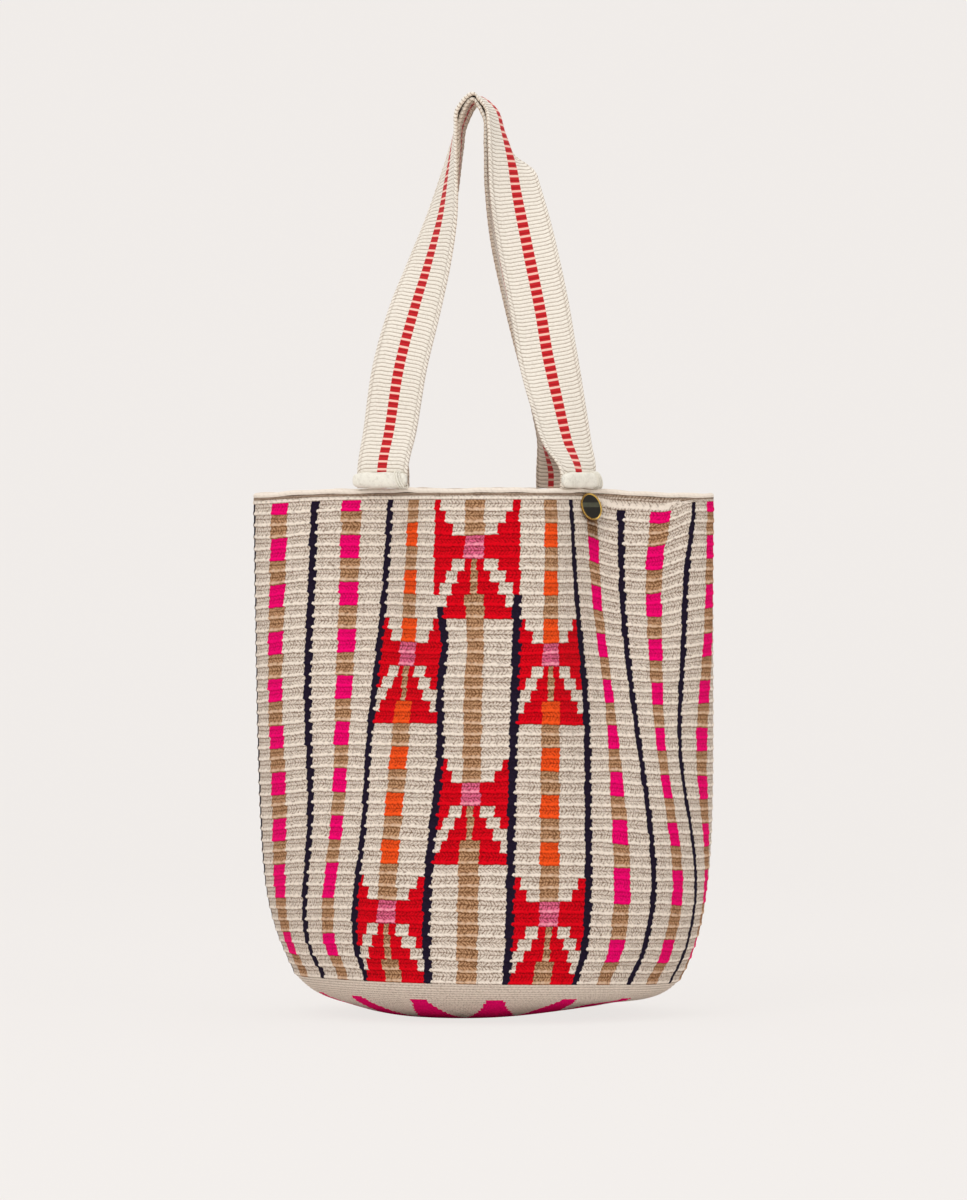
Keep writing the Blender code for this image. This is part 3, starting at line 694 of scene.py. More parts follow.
def stitch_lean(stitch, place, row):
    """How far a stitch is pulled sideways in its round, in stitches: a small lean, two bumps down
    the round where its strands cross, and a slow wander, so that no two are quite alike."""
    bumps = 0.12 * np.sin(4 * math.pi * place) * (0.7 + 0.3 * np.sin(1.9 * stitch + 2.7 * row))
    wander = 0.08 * np.sin(2.3 * stitch + 1.9 * row) + 0.07 * np.sin(5.1 * stitch - 3.3 * row)
    return bumps + wander + 0.14 * (0.5 - place)


def round_wander(stitch, place):
    """How far a round wanders up and down, in rounds: three waves along it, each turning as it
    goes down the wall."""
    long_wave = 0.06 * np.sin(0.37 * stitch + 0.9 * place) * np.sin(0.61 * place)
    short_waves = np.sin(2.1 * stitch + 1.3 * place) + np.sin(4.7 * stitch - 2.9 * place)
    return long_wave + 0.016 * short_waves


def drawn(stitch, share):
    """Where a stitch lies on the outline: each draw is a hill in the stitches round the wall and
    in its height."""
    made = np.array(stitch, dtype=float)
    for most, middle, spread, height, tall in DRAWS:
        round_it = np.exp(-(((stitch - middle) / spread) ** 2))
        made = made + most * (round_it * math.exp(-(((share - height) / tall) ** 2)))
    return made


def dip(stitch, row):
    """Share of the dip of the rounds at the right of the front: steps round the wall that come back
    to 0, widest at the top."""
    turned = (stitch - LEFT_SIDE_STITCH) % STITCHES + LEFT_SIDE_STITCH
    across = sum(share * smooth((turned - start) / wide) for start, wide, share in DIP_STEPS)
    return across * (1.0 - smooth(row / DIP_ROWS))


def wall_grid(size, first, last, samples, columns, outside):
    """Points, stitch places, round places and relief of the wall between two rounds, with so many
    samples to a round and columns to a stitch: its outside with the ridges, or its plain inside. A
    round before 0 is a place in the plain band at the top."""
    rings = np.arange(first * samples, last * samples + 1) / samples
    if first == 0:
        rings = np.concatenate((np.arange(-BAND_RINGS, 0) / BAND_RINGS, rings))
    stitch = LEFT_SIDE_STITCH + np.arange(STITCHES * columns + 1) / columns
    tall = wall_top(size) - base_rise(size)
    points, relief = [], []
    for place in rings:
        if place < 0:
            below = 1.0 + place
            fall = size.dip_depth * dip(stitch, 0) * below
            level = band_relief(size, stitch, size.top_band * below + fall)
            height = wall_top(size) - size.top_band * below
            moved = stitch
        else:
            level = row_relief(stitch, place % 1.0)
            height = wall_top(size) - size.top_band - size.row_pitch * place
            wander = round_wander(stitch, place) * smooth(place) * smooth(ROWS - place)
            fall = size.dip_depth * dip(stitch, place) + size.row_pitch * wander
            moved = stitch + stitch_lean(stitch, place % 1.0, math.floor(place))
        share = min(max((height - base_rise(size)) / tall, 0.0), 1.0)
        out = size.ridge_rise * level if outside else -size.wall_thickness
        ring = wall_ring(size, drawn(moved, share), share, out)
        ring[:, 2] -= fall
        points.append(ring)
        relief.append(level)
    return settled(np.array(points))[:, :-1], stitch, rings, np.array(relief)[:, :-1]


def band_relief(size, stitch, below):
    """How far the plain band stands out at a distance below the wall's top: a groove under the
    rolled edge, then ribs."""
    ribs = np.abs(np.sin(math.pi * (below - size.edge_radius) / (size.top_band - size.edge_radius)))
    ribs = ribs * smooth((below - size.edge_radius * 0.5) / size.edge_radius)
    return ribs * (0.85 + 0.15 * np.cos(2 * math.pi * stitch))


def yarn_tones(size, colours, across, down):
    """The yarn's colour of each quad, from the chart. The navy stitches swell at the top of each
    round. The band at the top is cream. Under the rolled edge it is darker, partly the tan chain there
    and partly painted shade, and where it widens it is darker with painted shade. A painted shadow
    darkens the yarn under the disc."""
    middle = (across[:-1] + across[1:]) / 2
    place = ((down[:-1] + down[1:]) / 2)[:, None]
    row = np.floor(place).astype(int)
    worked = np.clip(row, 0, ROWS - 1)
    stitch = np.floor(middle + 0.5).astype(int) % STITCHES
    nearer = np.floor(middle + 0.5 - NAVY_SWELL).astype(int) % STITCHES
    yarn = chart()
    swollen = (yarn[worked, nearer] == NAVY) & (place - row < NAVY_SWELL_DEPTH)
    tones = palette(colours)[np.where(swollen, NAVY, yarn[worked, stitch])]
    below = 1.0 + place
    wedge = size.dip_depth * np.maximum(dip(middle, 0), 0.0)
    deep = (size.top_band + wedge) * below + 0.0004 * np.sin(0.9 * middle) * np.sin(0.23 * middle)
    # painted shade: the band darkens to the rim's tone just under the rolled edge, and where it widens
    shade = 0.85 - 0.85 * smooth((deep - size.edge_radius * 0.8) / 0.0008)
    shade = np.maximum(shade, 0.6 * (wedge / size.dip_depth) * (1.0 - smooth(below / 0.7)))
    cream, line = palette(colours)[CREAM], np.array((*colours.rim_chain_and_shade, 1.0))
    band = cream + (line - cream) * shade[..., None]
    tones = np.where((row < 0)[..., None], band, tones)
    # painted shadow of the disc on the yarn below it
    wide, middle_row, tall, most = DISC_PAINTED_SHADOW
    away = ((middle - STUD_STITCH) / wide) ** 2 + ((row - middle_row) / tall) ** 2
    tones[..., :3] *= 1.0 - most * np.exp(-away)[..., None]
    return tones


class Net:
    """Builds a node tree: each call adds one node and gives its output."""

    def __init__(self, tree):
        self.tree = tree

    def put(self, socket, value):
        """Links an output to an input, or sets the input."""
        if isinstance(value, bpy.types.NodeSocket):
            self.tree.links.new(value, socket)
        else:
            socket.default_value = value

    def node(self, kind, inputs=None, **settings):
        """Adds a node with settings and inputs by name or number."""
        made = self.tree.nodes.new(kind)
        for name, value in settings.items():
            setattr(made, name, value)
        for name, value in (inputs or {}).items():
            self.put(made.inputs[name], value)
        return made

    def math(self, operation, *values):
        """A maths node."""
        return self.node("ShaderNodeMath", dict(enumerate(values)), operation=operation).outputs[0]

    def times(self, first, second):
        """The product of two values."""
        return self.math("MULTIPLY", first, second)

    def fit(self, value, factor, offset):
        """A value times a factor, plus an offset."""
        return self.math("MULTIPLY_ADD", value, factor, offset)

    def rest(self, value):
        """What a value leaves of 1."""
        return self.math("SUBTRACT", 1.0, value)

    def step(self, value, start, end):
        """0 below start, 1 above end, smooth between."""
        inputs = {"Value": value, "From Min": start, "From Max": end}
        made = self.node("ShaderNodeMapRange", inputs, interpolation_type="SMOOTHSTEP")
        return made.outputs["Result"]

    def noise(self, vector, scale, detail=2.0, roughness=0.5):
        """A noise from 0 to 1."""
        inputs = {"Vector": vector, "Scale": scale, "Detail": detail, "Roughness": roughness}
        return self.node("ShaderNodeTexNoise", inputs).outputs["Fac"]

    def mix(self, share, first, second, blend="MIX"):
        """A mix of two colours."""
        made = self.node("ShaderNodeMix", data_type="RGBA", blend_type=blend)
        colours = [socket for socket in made.inputs if socket.type == "RGBA"]
        for socket, value in zip((made.inputs[0], *colours), (share, first, second)):
            self.put(socket, value)
        return [socket for socket in made.outputs if socket.type == "RGBA"][0]

    def tinted(self, colour, tint):
        """A colour multiplied by a tint."""
        return self.mix(1.0, colour, tint, "MULTIPLY")

    def solid(self):
        """The object's own coordinates."""
        return self.node("ShaderNodeTexCoord").outputs["Object"]

    def stitch(self):
        """The stitch and round place of the piece's UV map."""
        return self.node("ShaderNodeUVMap", uv_map="stitch").outputs["UV"]

    def attribute(self, name):
        """The outputs of one of the piece's attributes."""
        return self.node("ShaderNodeAttribute", attribute_name=name).outputs

    def cloth(self, shader, tone, fibre, bump, roughness, specular):
        """Sets a cloth's shader: its tone with the fibres' grain, its bump and its shine."""
        grain = self.node("ShaderNodeCombineXYZ", {"X": fibre, "Y": fibre, "Z": fibre})
        self.put(shader.inputs["Base Color"], self.tinted(tone, grain.outputs[0]))
        height, strength, distance = bump
        inputs = {"Height": height, "Strength": strength, "Distance": distance}
        self.put(shader.inputs["Normal"], self.node("ShaderNodeBump", inputs).outputs["Normal"])
        shader.inputs["Roughness"].default_value = roughness
        shader.inputs["Specular IOR Level"].default_value = specular


def new_material(name):
    """A material, the builder of its nodes, and its shader."""
    made = bpy.data.materials.new(name)
    made.use_nodes = True
    return made, Net(made.node_tree), made.node_tree.nodes["Principled BSDF"]


def new_group(name, inputs, outputs):
    """An empty shader node group with these sockets: its builder, its inputs and its outputs."""
    tree = bpy.data.node_groups.new(name, "ShaderNodeTree")
    for way, sockets in (("INPUT", inputs), ("OUTPUT", outputs)):
        for label, kind in sockets:
            tree.interface.new_socket(label, in_out=way, socket_type=kind)
    start = tree.nodes.new("NodeGroupInput").outputs
    return Net(tree), start, tree.nodes.new("NodeGroupOutput").inputs


def stitch_group():
    """Node group, built once: from a stitch and round place, the strands' height and the shade
    between them."""
    found = bpy.data.node_groups.get("Stitches")
    if found:
        return found
    sides = (("Place", "NodeSocketVector"), ("Courses", "NodeSocketFloat"))
    ends = (("Height", "NodeSocketFloat"), ("Shade", "NodeSocketFloat"))
    net, start, end = new_group("Stitches", sides, ends)
    place = net.node("ShaderNodeSeparateXYZ", {"Vector": start["Place"]}).outputs
    course = net.times(place["Y"], start["Courses"])
    within = net.math("FRACT", course)
    flip = net.fit(net.math("PINGPONG", net.math("FLOOR", course), 1.0), 2.0, -1.0)
    slant = net.times(net.math("SUBTRACT", within, 0.5), flip)
    strand = net.fit(net.noise(start["Place"], 2.3), 0.5, net.fit(place["X"], 2.0, slant))
    round_strand = net.math("ABSOLUTE", net.math("SINE", net.times(strand, math.pi)))
    round_course = net.math("SINE", net.times(within, math.pi))
    height = net.times(net.math("POWER", round_strand, 0.6), net.math("POWER", round_course, 0.5))
    net.put(end["Height"], height)
    net.put(end["Shade"], net.step(height, 0.15, 0.75))
    return net.tree


def crochet_material(name, courses, deep):
    """Crocheted cotton: each yarn's own colour on the strands, with darker flecks and painted shade,
    darker and browner, in the gaps between them, a painted highlight, paler, along the ridges, and fine
    fibres. deep sets how strong the flecks and the painted shade are."""
    made, net, shader = new_material(name)
    yarn = net.attribute("yarn")
    relief = net.attribute("relief")["Fac"]
    solid = net.solid()
    inputs = {"Place": net.stitch(), "Courses": courses}
    strands = net.node("ShaderNodeGroup", inputs, node_tree=stitch_group()).outputs
    fleck = net.step(net.noise(solid, 620.0, 2.0, 0.6), 0.46, 0.64)
    patch = net.noise(solid, 90.0)
    cotton = net.noise(solid, 2600.0, 2.0, 0.6)
    low = net.rest(net.step(net.fit(fleck, -0.12, relief), 0.30, 0.68))
    gap = net.rest(strands["Shade"])
    # painted shade: the gaps between strands and the low parts of each round darken, with the flecks
    dark = net.times(net.fit(fleck, 0.36, net.fit(gap, 0.62, 0.18)), net.fit(patch, 0.5, 0.75))
    dark = net.times(net.times(dark, net.fit(low, 0.93, 0.07)), deep)
    dark = net.math("MINIMUM", net.times(dark, yarn["Alpha"]), 1.0)
    shaded = net.mix(dark, yarn["Color"], net.tinted(yarn["Color"], FLECK_AND_GAP_SHADE_TINT))
    plain_yarn = net.step(yarn["Alpha"], 0.85, 1.0)
    # painted highlight: the ridges of the plain yarns are made paler
    pale = net.times(net.step(relief, 0.42, 0.88), net.times(plain_yarn, 0.28))
    height = net.fit(fleck, -0.4, net.fit(cotton, 0.3, strands["Height"]))
    tone = net.mix(pale, shaded, RIDGE_HIGHLIGHT_TONE)
    net.cloth(shader, tone, net.fit(cotton, 0.3, 0.85), (height, 0.6, 0.0006), 0.95, 0.08)
    return made


def base_tones(size, colours, radii, stitches):
    """The yarn of each quad of the base: stepped points round the foot, a star, a ring and an eye."""
    pitch = 2 * math.pi / BASE_POINTS
    x, y = on_outline(outline(size, 0.0), stitches).T
    angle = np.arctan2(x, -y) - BASE_TURN
    away = np.abs((angle + pitch / 2) % pitch - pitch / 2)
    radius = radii[:, None]
    width = away[None, :] * radius
    point = (width < POINT_HALF_WIDTH + (POINT_RADIUS - radius) * POINT_SLOPE) & (radius < POINT_RADIUS)
    star = (width < (STAR_RADIUS - radius) * POINT_SLOPE * 2) & (radius < STAR_RADIUS)
    ring = (radius < RING_RADIUS) & (radius > RING_RADIUS - RING_WIDTH)
    yarn = np.where(point | (radius < JOIN_RADIUS), PINK, CREAM)
    yarn = np.where(star, CREAM, yarn)
    yarn = np.where(ring, TAN, yarn)
    return palette(colours)[np.where(radius < EYE_RADIUS, RED, yarn)]


class BAG_OT_wall(bpy.types.Operator):
    """Builds the crocheted wall: a displaced skin of ridged rounds, in two bands, and its inside"""

    bl_idname = "bag.wall"
    bl_label = "Crocheted wall"

    def execute(self, context):
        size, colours = context.scene.bag_sizes, context.scene.bag_colours
        material = crochet_material("Crochet outside", 3.0, 1.0)
        for name, first, last in (("wall_upper", 0, UPPER_ROWS), ("wall_lower", UPPER_ROWS, ROWS)):
            points, across, down, relief = wall_grid(size, first, last, ROW_RINGS, STITCH_COLUMNS, True)
            tone = yarn_tones(size, colours, across, down)
            wall = add_surface(name, points, across, down, True, tone, relief)
            finish_piece(wall, "crochet", material, "body")
        points, across, down, relief = wall_grid(size, 0, ROWS, INSIDE_RINGS, INSIDE_COLUMNS, False)
        tone = yarn_tones(size, colours, across, down)[::-1]
        lining = add_surface("wall_inside", points[::-1], across, down[::-1], True, tone, relief[::-1])
        finish_piece(lining, "crochet", crochet_material("Crochet inside", 2.0, 0.8), "body")
        return {"FINISHED"}


class BAG_OT_base(bpy.types.Operator):
    """Builds the crocheted base: fine rounds over a rounded corner, with stepped points"""

    bl_idname = "bag.base"
    bl_label = "Crocheted base"

    def execute(self, context):
        size, colours = context.scene.bag_sizes, context.scene.bag_colours
        reach = np.linspace(size.base_radius, POLE_RADIUS, 4 * LINE_SAMPLES)
        along = run(np.hypot(np.diff(reach), np.diff(corner_rise(size, reach))))
        rounds = int(round(along[-1] / size.round_pitch))
        places = np.arange(rounds * BASE_RINGS + 1) / BASE_RINGS
        radii = np.interp(places * along[-1] / rounds, along, reach)
        stitch = LEFT_SIDE_STITCH + np.arange(STITCHES * BASE_COLUMNS + 1) / BASE_COLUMNS
        across = stitch[None, :] + BASE_LEAN * places[:, None]
        ribs = np.abs(np.sin(math.pi * (places % 1.0)))[:, None]
        level = ribs * (0.8 + 0.2 * np.cos(2 * math.pi * across))
        out = size.round_rise * (level - 1)
        outer = np.array([base_ring(size, stitch, *ring) for ring in zip(radii, out)])
        snapped = np.interp((np.floor(places[:-1]) + 0.5) * along[-1] / rounds, along, reach)
        tone = base_tones(size, colours, snapped, (stitch[:-1] + stitch[1:]) / 2)
        relief = 0.75 * level[:, :-1] + 0.1
        points = settled_base(outer)[:, :-1]
        base = add_surface("base", points, across, places, True, tone, relief, (False, True))
        material = crochet_material("Crochet base", 1.0, 0.55)
        finish_piece(base, "crochet", material, "body")
        inner = np.array([base_ring(size, stitch, r, -size.wall_thickness) for r in radii[::2]])
        points = settled_base(inner)[::-1, :-1]
        across, places = across[::2][::-1], places[::2][::-1]
        tone = palette(colours)[CREAM]
        lining = add_surface("base_inside", points, across, places, True, tone, 0.4, (True, False))
        finish_piece(lining, "crochet", material, "body")
        return {"FINISHED"}


def tube(path, sideways, upward, reach):
    """Points of a round tube along a path, in a frame of two unit vectors at each point. reach is
    the tube's radius at each point and side."""
    turn = 2 * math.pi * np.arange(reach.shape[1]) / reach.shape[1]
    ring = sideways[:, None, :] * (np.cos(turn) * reach)[..., None]
    ring = ring + upward[:, None, :] * (np.sin(turn) * reach)[..., None]
    return path[:, None, :] + ring


class BAG_OT_edge(bpy.types.Operator):
    """Builds the rolled edge round the mouth: a bar of slanted strands"""

    bl_idname = "bag.edge"
    bl_label = "Rolled edge"

    def execute(self, context):
        size, colours = context.scene.bag_sizes, context.scene.bag_colours
        stitch = LEFT_SIDE_STITCH + np.arange(STITCHES * EDGE_COLUMNS + 1) / EDGE_COLUMNS
        path = wall_ring(size, stitch, 1.0, -size.wall_thickness / 2)
        away = wall_ring(size, stitch, 1.0) - path
        away[:, 2] = 0.0
        away = unit(away)
        upward = np.broadcast_to((0.0, 0.0, 1.0), away.shape)
        path[:, 2] = edge_height(size)
        path[:, 2] += 0.0004 * np.sin(0.35 * stitch) + 0.0003 * np.sin(0.91 * stitch + 1.0)
        turn = 2 * math.pi * np.arange(EDGE_SIDES + 1) / EDGE_SIDES
        twist = np.abs(np.sin(math.pi * (stitch[:, None] + turn / math.pi)))
        swell = 0.98 + 0.03 * twist + 0.03 * np.sin(0.47 * stitch)[:, None]
        points = tube(settled(path), away, upward, size.edge_radius * swell[:, :-1])
        grid = np.swapaxes(points[:-1], 0, 1)
        grid = np.concatenate((grid, grid[:1]))[::-1]
        middle = (turn[:-1] + turn[1:])[::-1, None, None] / 2
        # the rim's tone on the rolled edge's lower outer side: partly the tan chain, partly painted
        # shade
        under = (middle > EDGE_SHADED_UNDERSIDE[0]) & (middle < EDGE_SHADED_UNDERSIDE[1])
        tone = np.where(under, (*colours.rim_chain_and_shade, 1.0), palette(colours)[CREAM])
        relief = 0.6 + 0.3 * twist[:-1].T[::-1]
        edge = add_surface("edge", grid, stitch, turn[::-1], True, tone, relief)
        finish_piece(edge, "crochet_edge", crochet_material("Crochet edge", 1.0, 0.5), "rim_edge")
        return {"FINISHED"}


def seat(size, place, side):
    """Middle and turn of a roll on the rim, side -1 at the front and 1 at the back: it lies along
    the chord of the mouth under the strap's two selvages."""
    x, y, _ = outline(size, 1.0)
    keep = y <= 0 if side < 0 else y >= 0
    order = np.argsort(x[keep])
    edge_x, edge_y = x[keep][order], y[keep][order]
    middle = place * size.mouth_half_width
    turn = 0.0
    for _ in range(SEAT_PASSES):
        reach = size.strap_width / 2 * math.cos(turn)
        left, right = np.interp((middle - reach, middle + reach), edge_x, edge_y)
        turn = math.atan2(right - left, 2 * reach)
    near = turn if right < left else turn - math.pi
    return middle, (left + right) / 2 - side * size.wall_thickness / 2, turn, near


def roll_bottom(size):
    """Height where the rolls stand on the rolled edge."""
    return edge_height(size) + size.edge_radius - size.clearance


def edge_height(size):
    """Height of the rolled edge's middle line."""
    return wall_top(size) + size.clearance + size.edge_radius - size.edge_drop


def smooth_line(points, count):
    """Points of a curve through control points, evenly spaced along it, and its length: cubic
    pieces that meet with slopes taken from the points on both sides."""
    reach = run(np.linalg.norm(np.diff(points[:, :3], axis=0), axis=1))
    slopes = np.gradient(points, reach, axis=0)
    where = np.linspace(0.0, reach[-1], LINE_SAMPLES)
    span = np.clip(np.searchsorted(reach, where, side="right") - 1, 0, len(points) - 2)
    gap = (reach[span + 1] - reach[span])[:, None]
    share = (where - reach[span])[:, None] / gap
    first = (1 + 2 * share) * (1 - share) ** 2 * points[span]
    first = first + share * (1 - share) ** 2 * gap * slopes[span]
    second = share**2 * (3 - 2 * share) * points[span + 1]
    line = first + second + share**2 * (share - 1) * gap * slopes[span + 1]
    along = run(np.linalg.norm(np.diff(line[:, :3], axis=0), axis=1))
    even = np.linspace(0.0, along[-1], count)
    return np.stack([np.interp(even, along, column) for column in line.T], axis=1), along[-1]


def strap_frame(size, handle, side):
    """The strap's line with its across and outward directions, even in length."""
    left_x, left_y, _, left_near = seat(size, handle[0], side)
    right_x, right_y, _, right_near = seat(size, handle[-1], side)
    foot = roll_bottom(size)
    top = foot + size.roll_height
    half = size.mouth_half_width
    between = [
        (x * half, y * half, top + z * size.strap_rise, math.radians(turn))
        for x, y, z, turn in handle[1:-1]
    ]
    left_end = [(left_x, left_y, foot, left_near), (left_x, left_y, top, left_near)]
    right_end = [(right_x, right_y, top, right_near), (right_x, right_y, foot, right_near)]
    points = np.array([*left_end, *between, *right_end])
    points[:, 3] = np.unwrap(points[:, 3])
    reach = smooth_line(points, 2)[1]
    count = int(round(reach / size.rib_pitch)) * RIB_RINGS + 1
    line, reach = smooth_line(points, count)
    along = unit(np.gradient(line[:, :3], axis=0))
    ends = np.minimum(np.arange(count), np.arange(count)[::-1]) / (UPRIGHT_RIBS * RIB_RINGS)
    ease = smooth(ends)[:, None]
    upright = np.zeros_like(along)
    upright[:, 2] = np.where(np.arange(count) < count // 2, 1.0, -1.0)
    along = unit(along * ease + upright * (1 - ease))
    turn = line[:, 3]
    across = np.stack((np.cos(turn), np.sin(turn), 0 * turn), axis=1)
    across = unit(across - along * np.sum(across * along, axis=1, keepdims=True))
    return line[:, :3], across, np.cross(across, along), reach


def webbing_section(size):
    """The webbing's closed section, as places across and places through: a flat web whose two
    edges run into round cords. It goes round the left cord, along the inner face, round the right
    cord and back along the outer face."""
    cord = size.cord_radius
    middle = size.strap_width / 2 - cord
    web = size.strap_thickness / 2
    meets = math.asin(web / cord)
    turn = np.linspace(meets, 2 * math.pi - meets, CORD_SAMPLES)
    flat = np.linspace(-1.0, 1.0, FLAT_SAMPLES)[1:-1] * (middle - cord * math.cos(meets))
    left = -middle + cord * np.cos(turn)
    right = middle - cord * np.cos(turn)
    places = np.concatenate((left, flat, right, flat[::-1]))
    round_cord = cord * np.sin(turn)
    through = np.concatenate((round_cord, 0 * flat - web, -round_cord, 0 * flat + web))
    return places, through


class BAG_OT_straps(bpy.types.Operator):
    """Builds the two webbing handles: ribbed bands with a round cord along each selvage, the far
    half of the front one curling down beyond its crown"""

    bl_idname = "bag.straps"
    bl_label = "Webbing handles"

    def execute(self, context):
        size, colours = context.scene.bag_sizes, context.scene.bag_colours
        material = webbing_material(size, colours)
        loop, high = webbing_section(size)
        on_cord = np.abs(loop) > size.strap_width / 2 - 2 * size.cord_radius
        # the share of the inward side, which the webbing's material darkens with painted shade
        inward = smooth(0.5 - high / size.cord_radius)
        far = np.clip(-loop, 0.0, None)
        for name, handle, side in HANDLES:
            line, across, through, reach = strap_frame(size, handle, side)
            rib = np.arange(len(line)) / RIB_RINGS
            level = np.abs(np.sin(math.pi * rib))[:, None] ** 0.5
            twist = np.abs(np.sin(math.pi * (rib[:, None] * 0.5 + high / size.cord_radius / 3)))
            swell = np.where(on_cord, 0.86 + 0.18 * twist, 0.84 + 0.2 * level)
            place = np.linspace(0.0, 1.0, len(line))[:, None]
            curl = CURL_TURN * ramp(place, *CURL_GROWS) * (1.0 - ramp(place, *CURL_FADES)) * (side < 0)
            bent = curl * smooth(far / CURL_BEND)
            sideways = loop + far * (1.0 - np.cos(bent)) + high * np.sin(bent)
            lifted = high * swell * np.cos(bent) - far * np.sin(bent)
            grid = line[:, None, :] + across[:, None, :] * sideways[..., None]
            grid = grid + through[:, None, :] * lifted[..., None]
            wide = np.append(loop, loop[0])
            label = "webbing_" + name
            strap = add_surface(label, grid, wide, rib, True, None, inward, (True, True))
            finish_piece(strap, "webbing", material, "strap_" + name)
        return {"FINISHED"}


def webbing_material(size, colours):
    """Cotton webbing: cream cross ribs with thin grooves of painted shade, dashes down its middle with
    painted shade in their grooves, twisted cords at its selvages with painted shade between their
    strands, and painted shade over its inward side."""
    made, net, shader = new_material("Webbing")
    parts = net.node("ShaderNodeSeparateXYZ", {"Vector": net.stitch()}).outputs
    inward = net.attribute("relief")["Fac"]
    solid = net.solid()
    off = net.math("ABSOLUTE", parts["X"])
    joint = size.strap_width / 2 - 2 * size.cord_radius
    webbing, groove_tone = (*colours.webbing, 1), (*colours.groove, 1)
    cotton = net.noise(solid, 1800.0, 3.0, 0.6)
    wobble = net.fit(net.noise(solid, 130.0), 0.24, -0.12)
    bend = net.times(net.step(off, joint - 0.005, joint), 0.3)
    near = net.math("PINGPONG", net.math("ADD", net.math("ADD", parts["Y"], wobble), bend), 0.5)
    # painted shade in the grooves between the cross ribs
    groove = net.rest(net.step(near, 0.04, 0.17))
    speck = net.step(net.noise(solid, 700.0, 2.0, 0.6), 0.5, 0.66)
    ground = net.mix(net.fit(groove, 0.62, net.times(speck, 0.12)), webbing, groove_tone)
    inside = size.stripe_width / 2
    stripe = net.rest(net.step(off, inside - 0.0003, inside + 0.0001))
    dash_place = net.math("PINGPONG", net.fit(parts["Y"], 0.5, 0.1), 0.5)
    dash = net.rest(net.step(dash_place, 0.32, 0.41))
    # painted shade in the grooves of the dashes
    red = net.tinted((*colours.stripe, 1), DASH_GROOVE_SHADE_TINT)
    red = net.mix(net.times(groove, 0.9), (*colours.stripe, 1), red)
    body = net.mix(stripe, ground, net.mix(dash, (*colours.stripe_ground, 1), red))
    # painted shade between the strands of the twisted cords
    cord = net.math("PINGPONG", net.fit(off, CORD_TWIST, parts["Y"]), 0.5)
    cord_share = net.fit(net.rest(net.step(cord, 0.04, 0.2)), 0.6, net.times(speck, 0.3))
    cord_tone = net.mix(cord_share, webbing, groove_tone)
    body = net.mix(net.step(off, joint, joint + 0.0003), body, cord_tone)
    apart = net.math("ABSOLUTE", net.math("SUBTRACT", off, joint))
    line = net.times(net.rest(net.step(apart, 0.0002, 0.0007)), net.fit(inward, 0.3, 0.2))
    body = net.mix(line, body, groove_tone)
    # painted shade over the inward side
    body = net.mix(net.times(inward, 0.8), body, net.tinted(body, INWARD_SHADE_TINT))
    height = net.fit(cotton, 0.25, net.step(near, 0.0, 0.35))
    net.cloth(shader, body, net.fit(cotton, 0.3, 0.85), (height, 0.5, 0.0004), 0.85, 0.25)
    shader.inputs["Sheen Weight"].default_value = 0.1
    return made


def binding_material(size, colours):
    """Folded cotton with a fine grain, and painted shade, browner, low on the rolls where they meet the
    edge.
    """
    made, net, shader = new_material("Binding")
    solid = net.solid()
    cotton = net.noise(solid, 800.0, 3.0, 0.6)
    height = net.node("ShaderNodeSeparateXYZ", {"Vector": solid}).outputs["Z"]
    foot = wall_top(size)
    # painted shade: the rolls darken low down where they meet the edge, with the grain's specks
    low = net.rest(net.step(height, foot, foot + size.roll_height * 0.6))
    grain = net.step(net.noise(solid, 420.0, 3.0, 0.65), 0.48, 0.70)
    contact_shade_and_grain = net.fit(low, 0.22, net.times(grain, 0.14))
    contact_shade_and_grain = net.fit(net.math("SUBTRACT", net.noise(solid, 120.0), 0.5), 0.3, contact_shade_and_grain)
    tone = net.mix(net.math("MAXIMUM", contact_shade_and_grain, 0.0), (*colours.binding, 1), (*colours.groove, 1))
    relief = net.math("SUBTRACT", cotton, grain)
    net.cloth(shader, tone, net.fit(cotton, 0.22, 0.89), (relief, 0.5, 0.0005), 0.8, 0.3)
    return made


class BAG_OT_rolls(bpy.types.Operator):
    """Builds the rolls at the straps' ends and the thread that sews them down"""

    bl_idname = "bag.rolls"
    bl_label = "Bound rolls"

    def execute(self, context):
        size, colours = context.scene.bag_sizes, context.scene.bag_colours
        material = binding_material(size, colours)
        for name, handle, side in HANDLES:
            for end, place in (("left", handle[0]), ("right", handle[-1])):
                x, y, turn, _ = seat(size, place, side)
                x -= side * size.roll_shift * math.sin(turn)
                y += side * size.roll_shift * math.cos(turn)
                label = name + "_" + end
                roll = self.place("roll_" + label, roll_grid(size), turn, x, y)
                finish_piece(roll, "piping", material, "binding_" + label)
                for number in range(THREADS):
                    title = "thread_" + label + "_" + str(number)
                    thread = self.place(title, thread_grid(size, number), turn, x, y)
                    finish_piece(thread, "piping", material)
        return {"FINISHED"}

    def place(self, name, grid, turn, x, y):
        """A closed piece from a grid at the origin, turned about the vertical and moved."""
        points, across, down = grid
        made = points.copy()
        made[..., 0] = points[..., 0] * math.cos(turn) - points[..., 1] * math.sin(turn) + x
        made[..., 1] = points[..., 0] * math.sin(turn) + points[..., 1] * math.cos(turn) + y
        return add_surface(name, made[::-1], across, down[::-1], True, caps=(True, True))


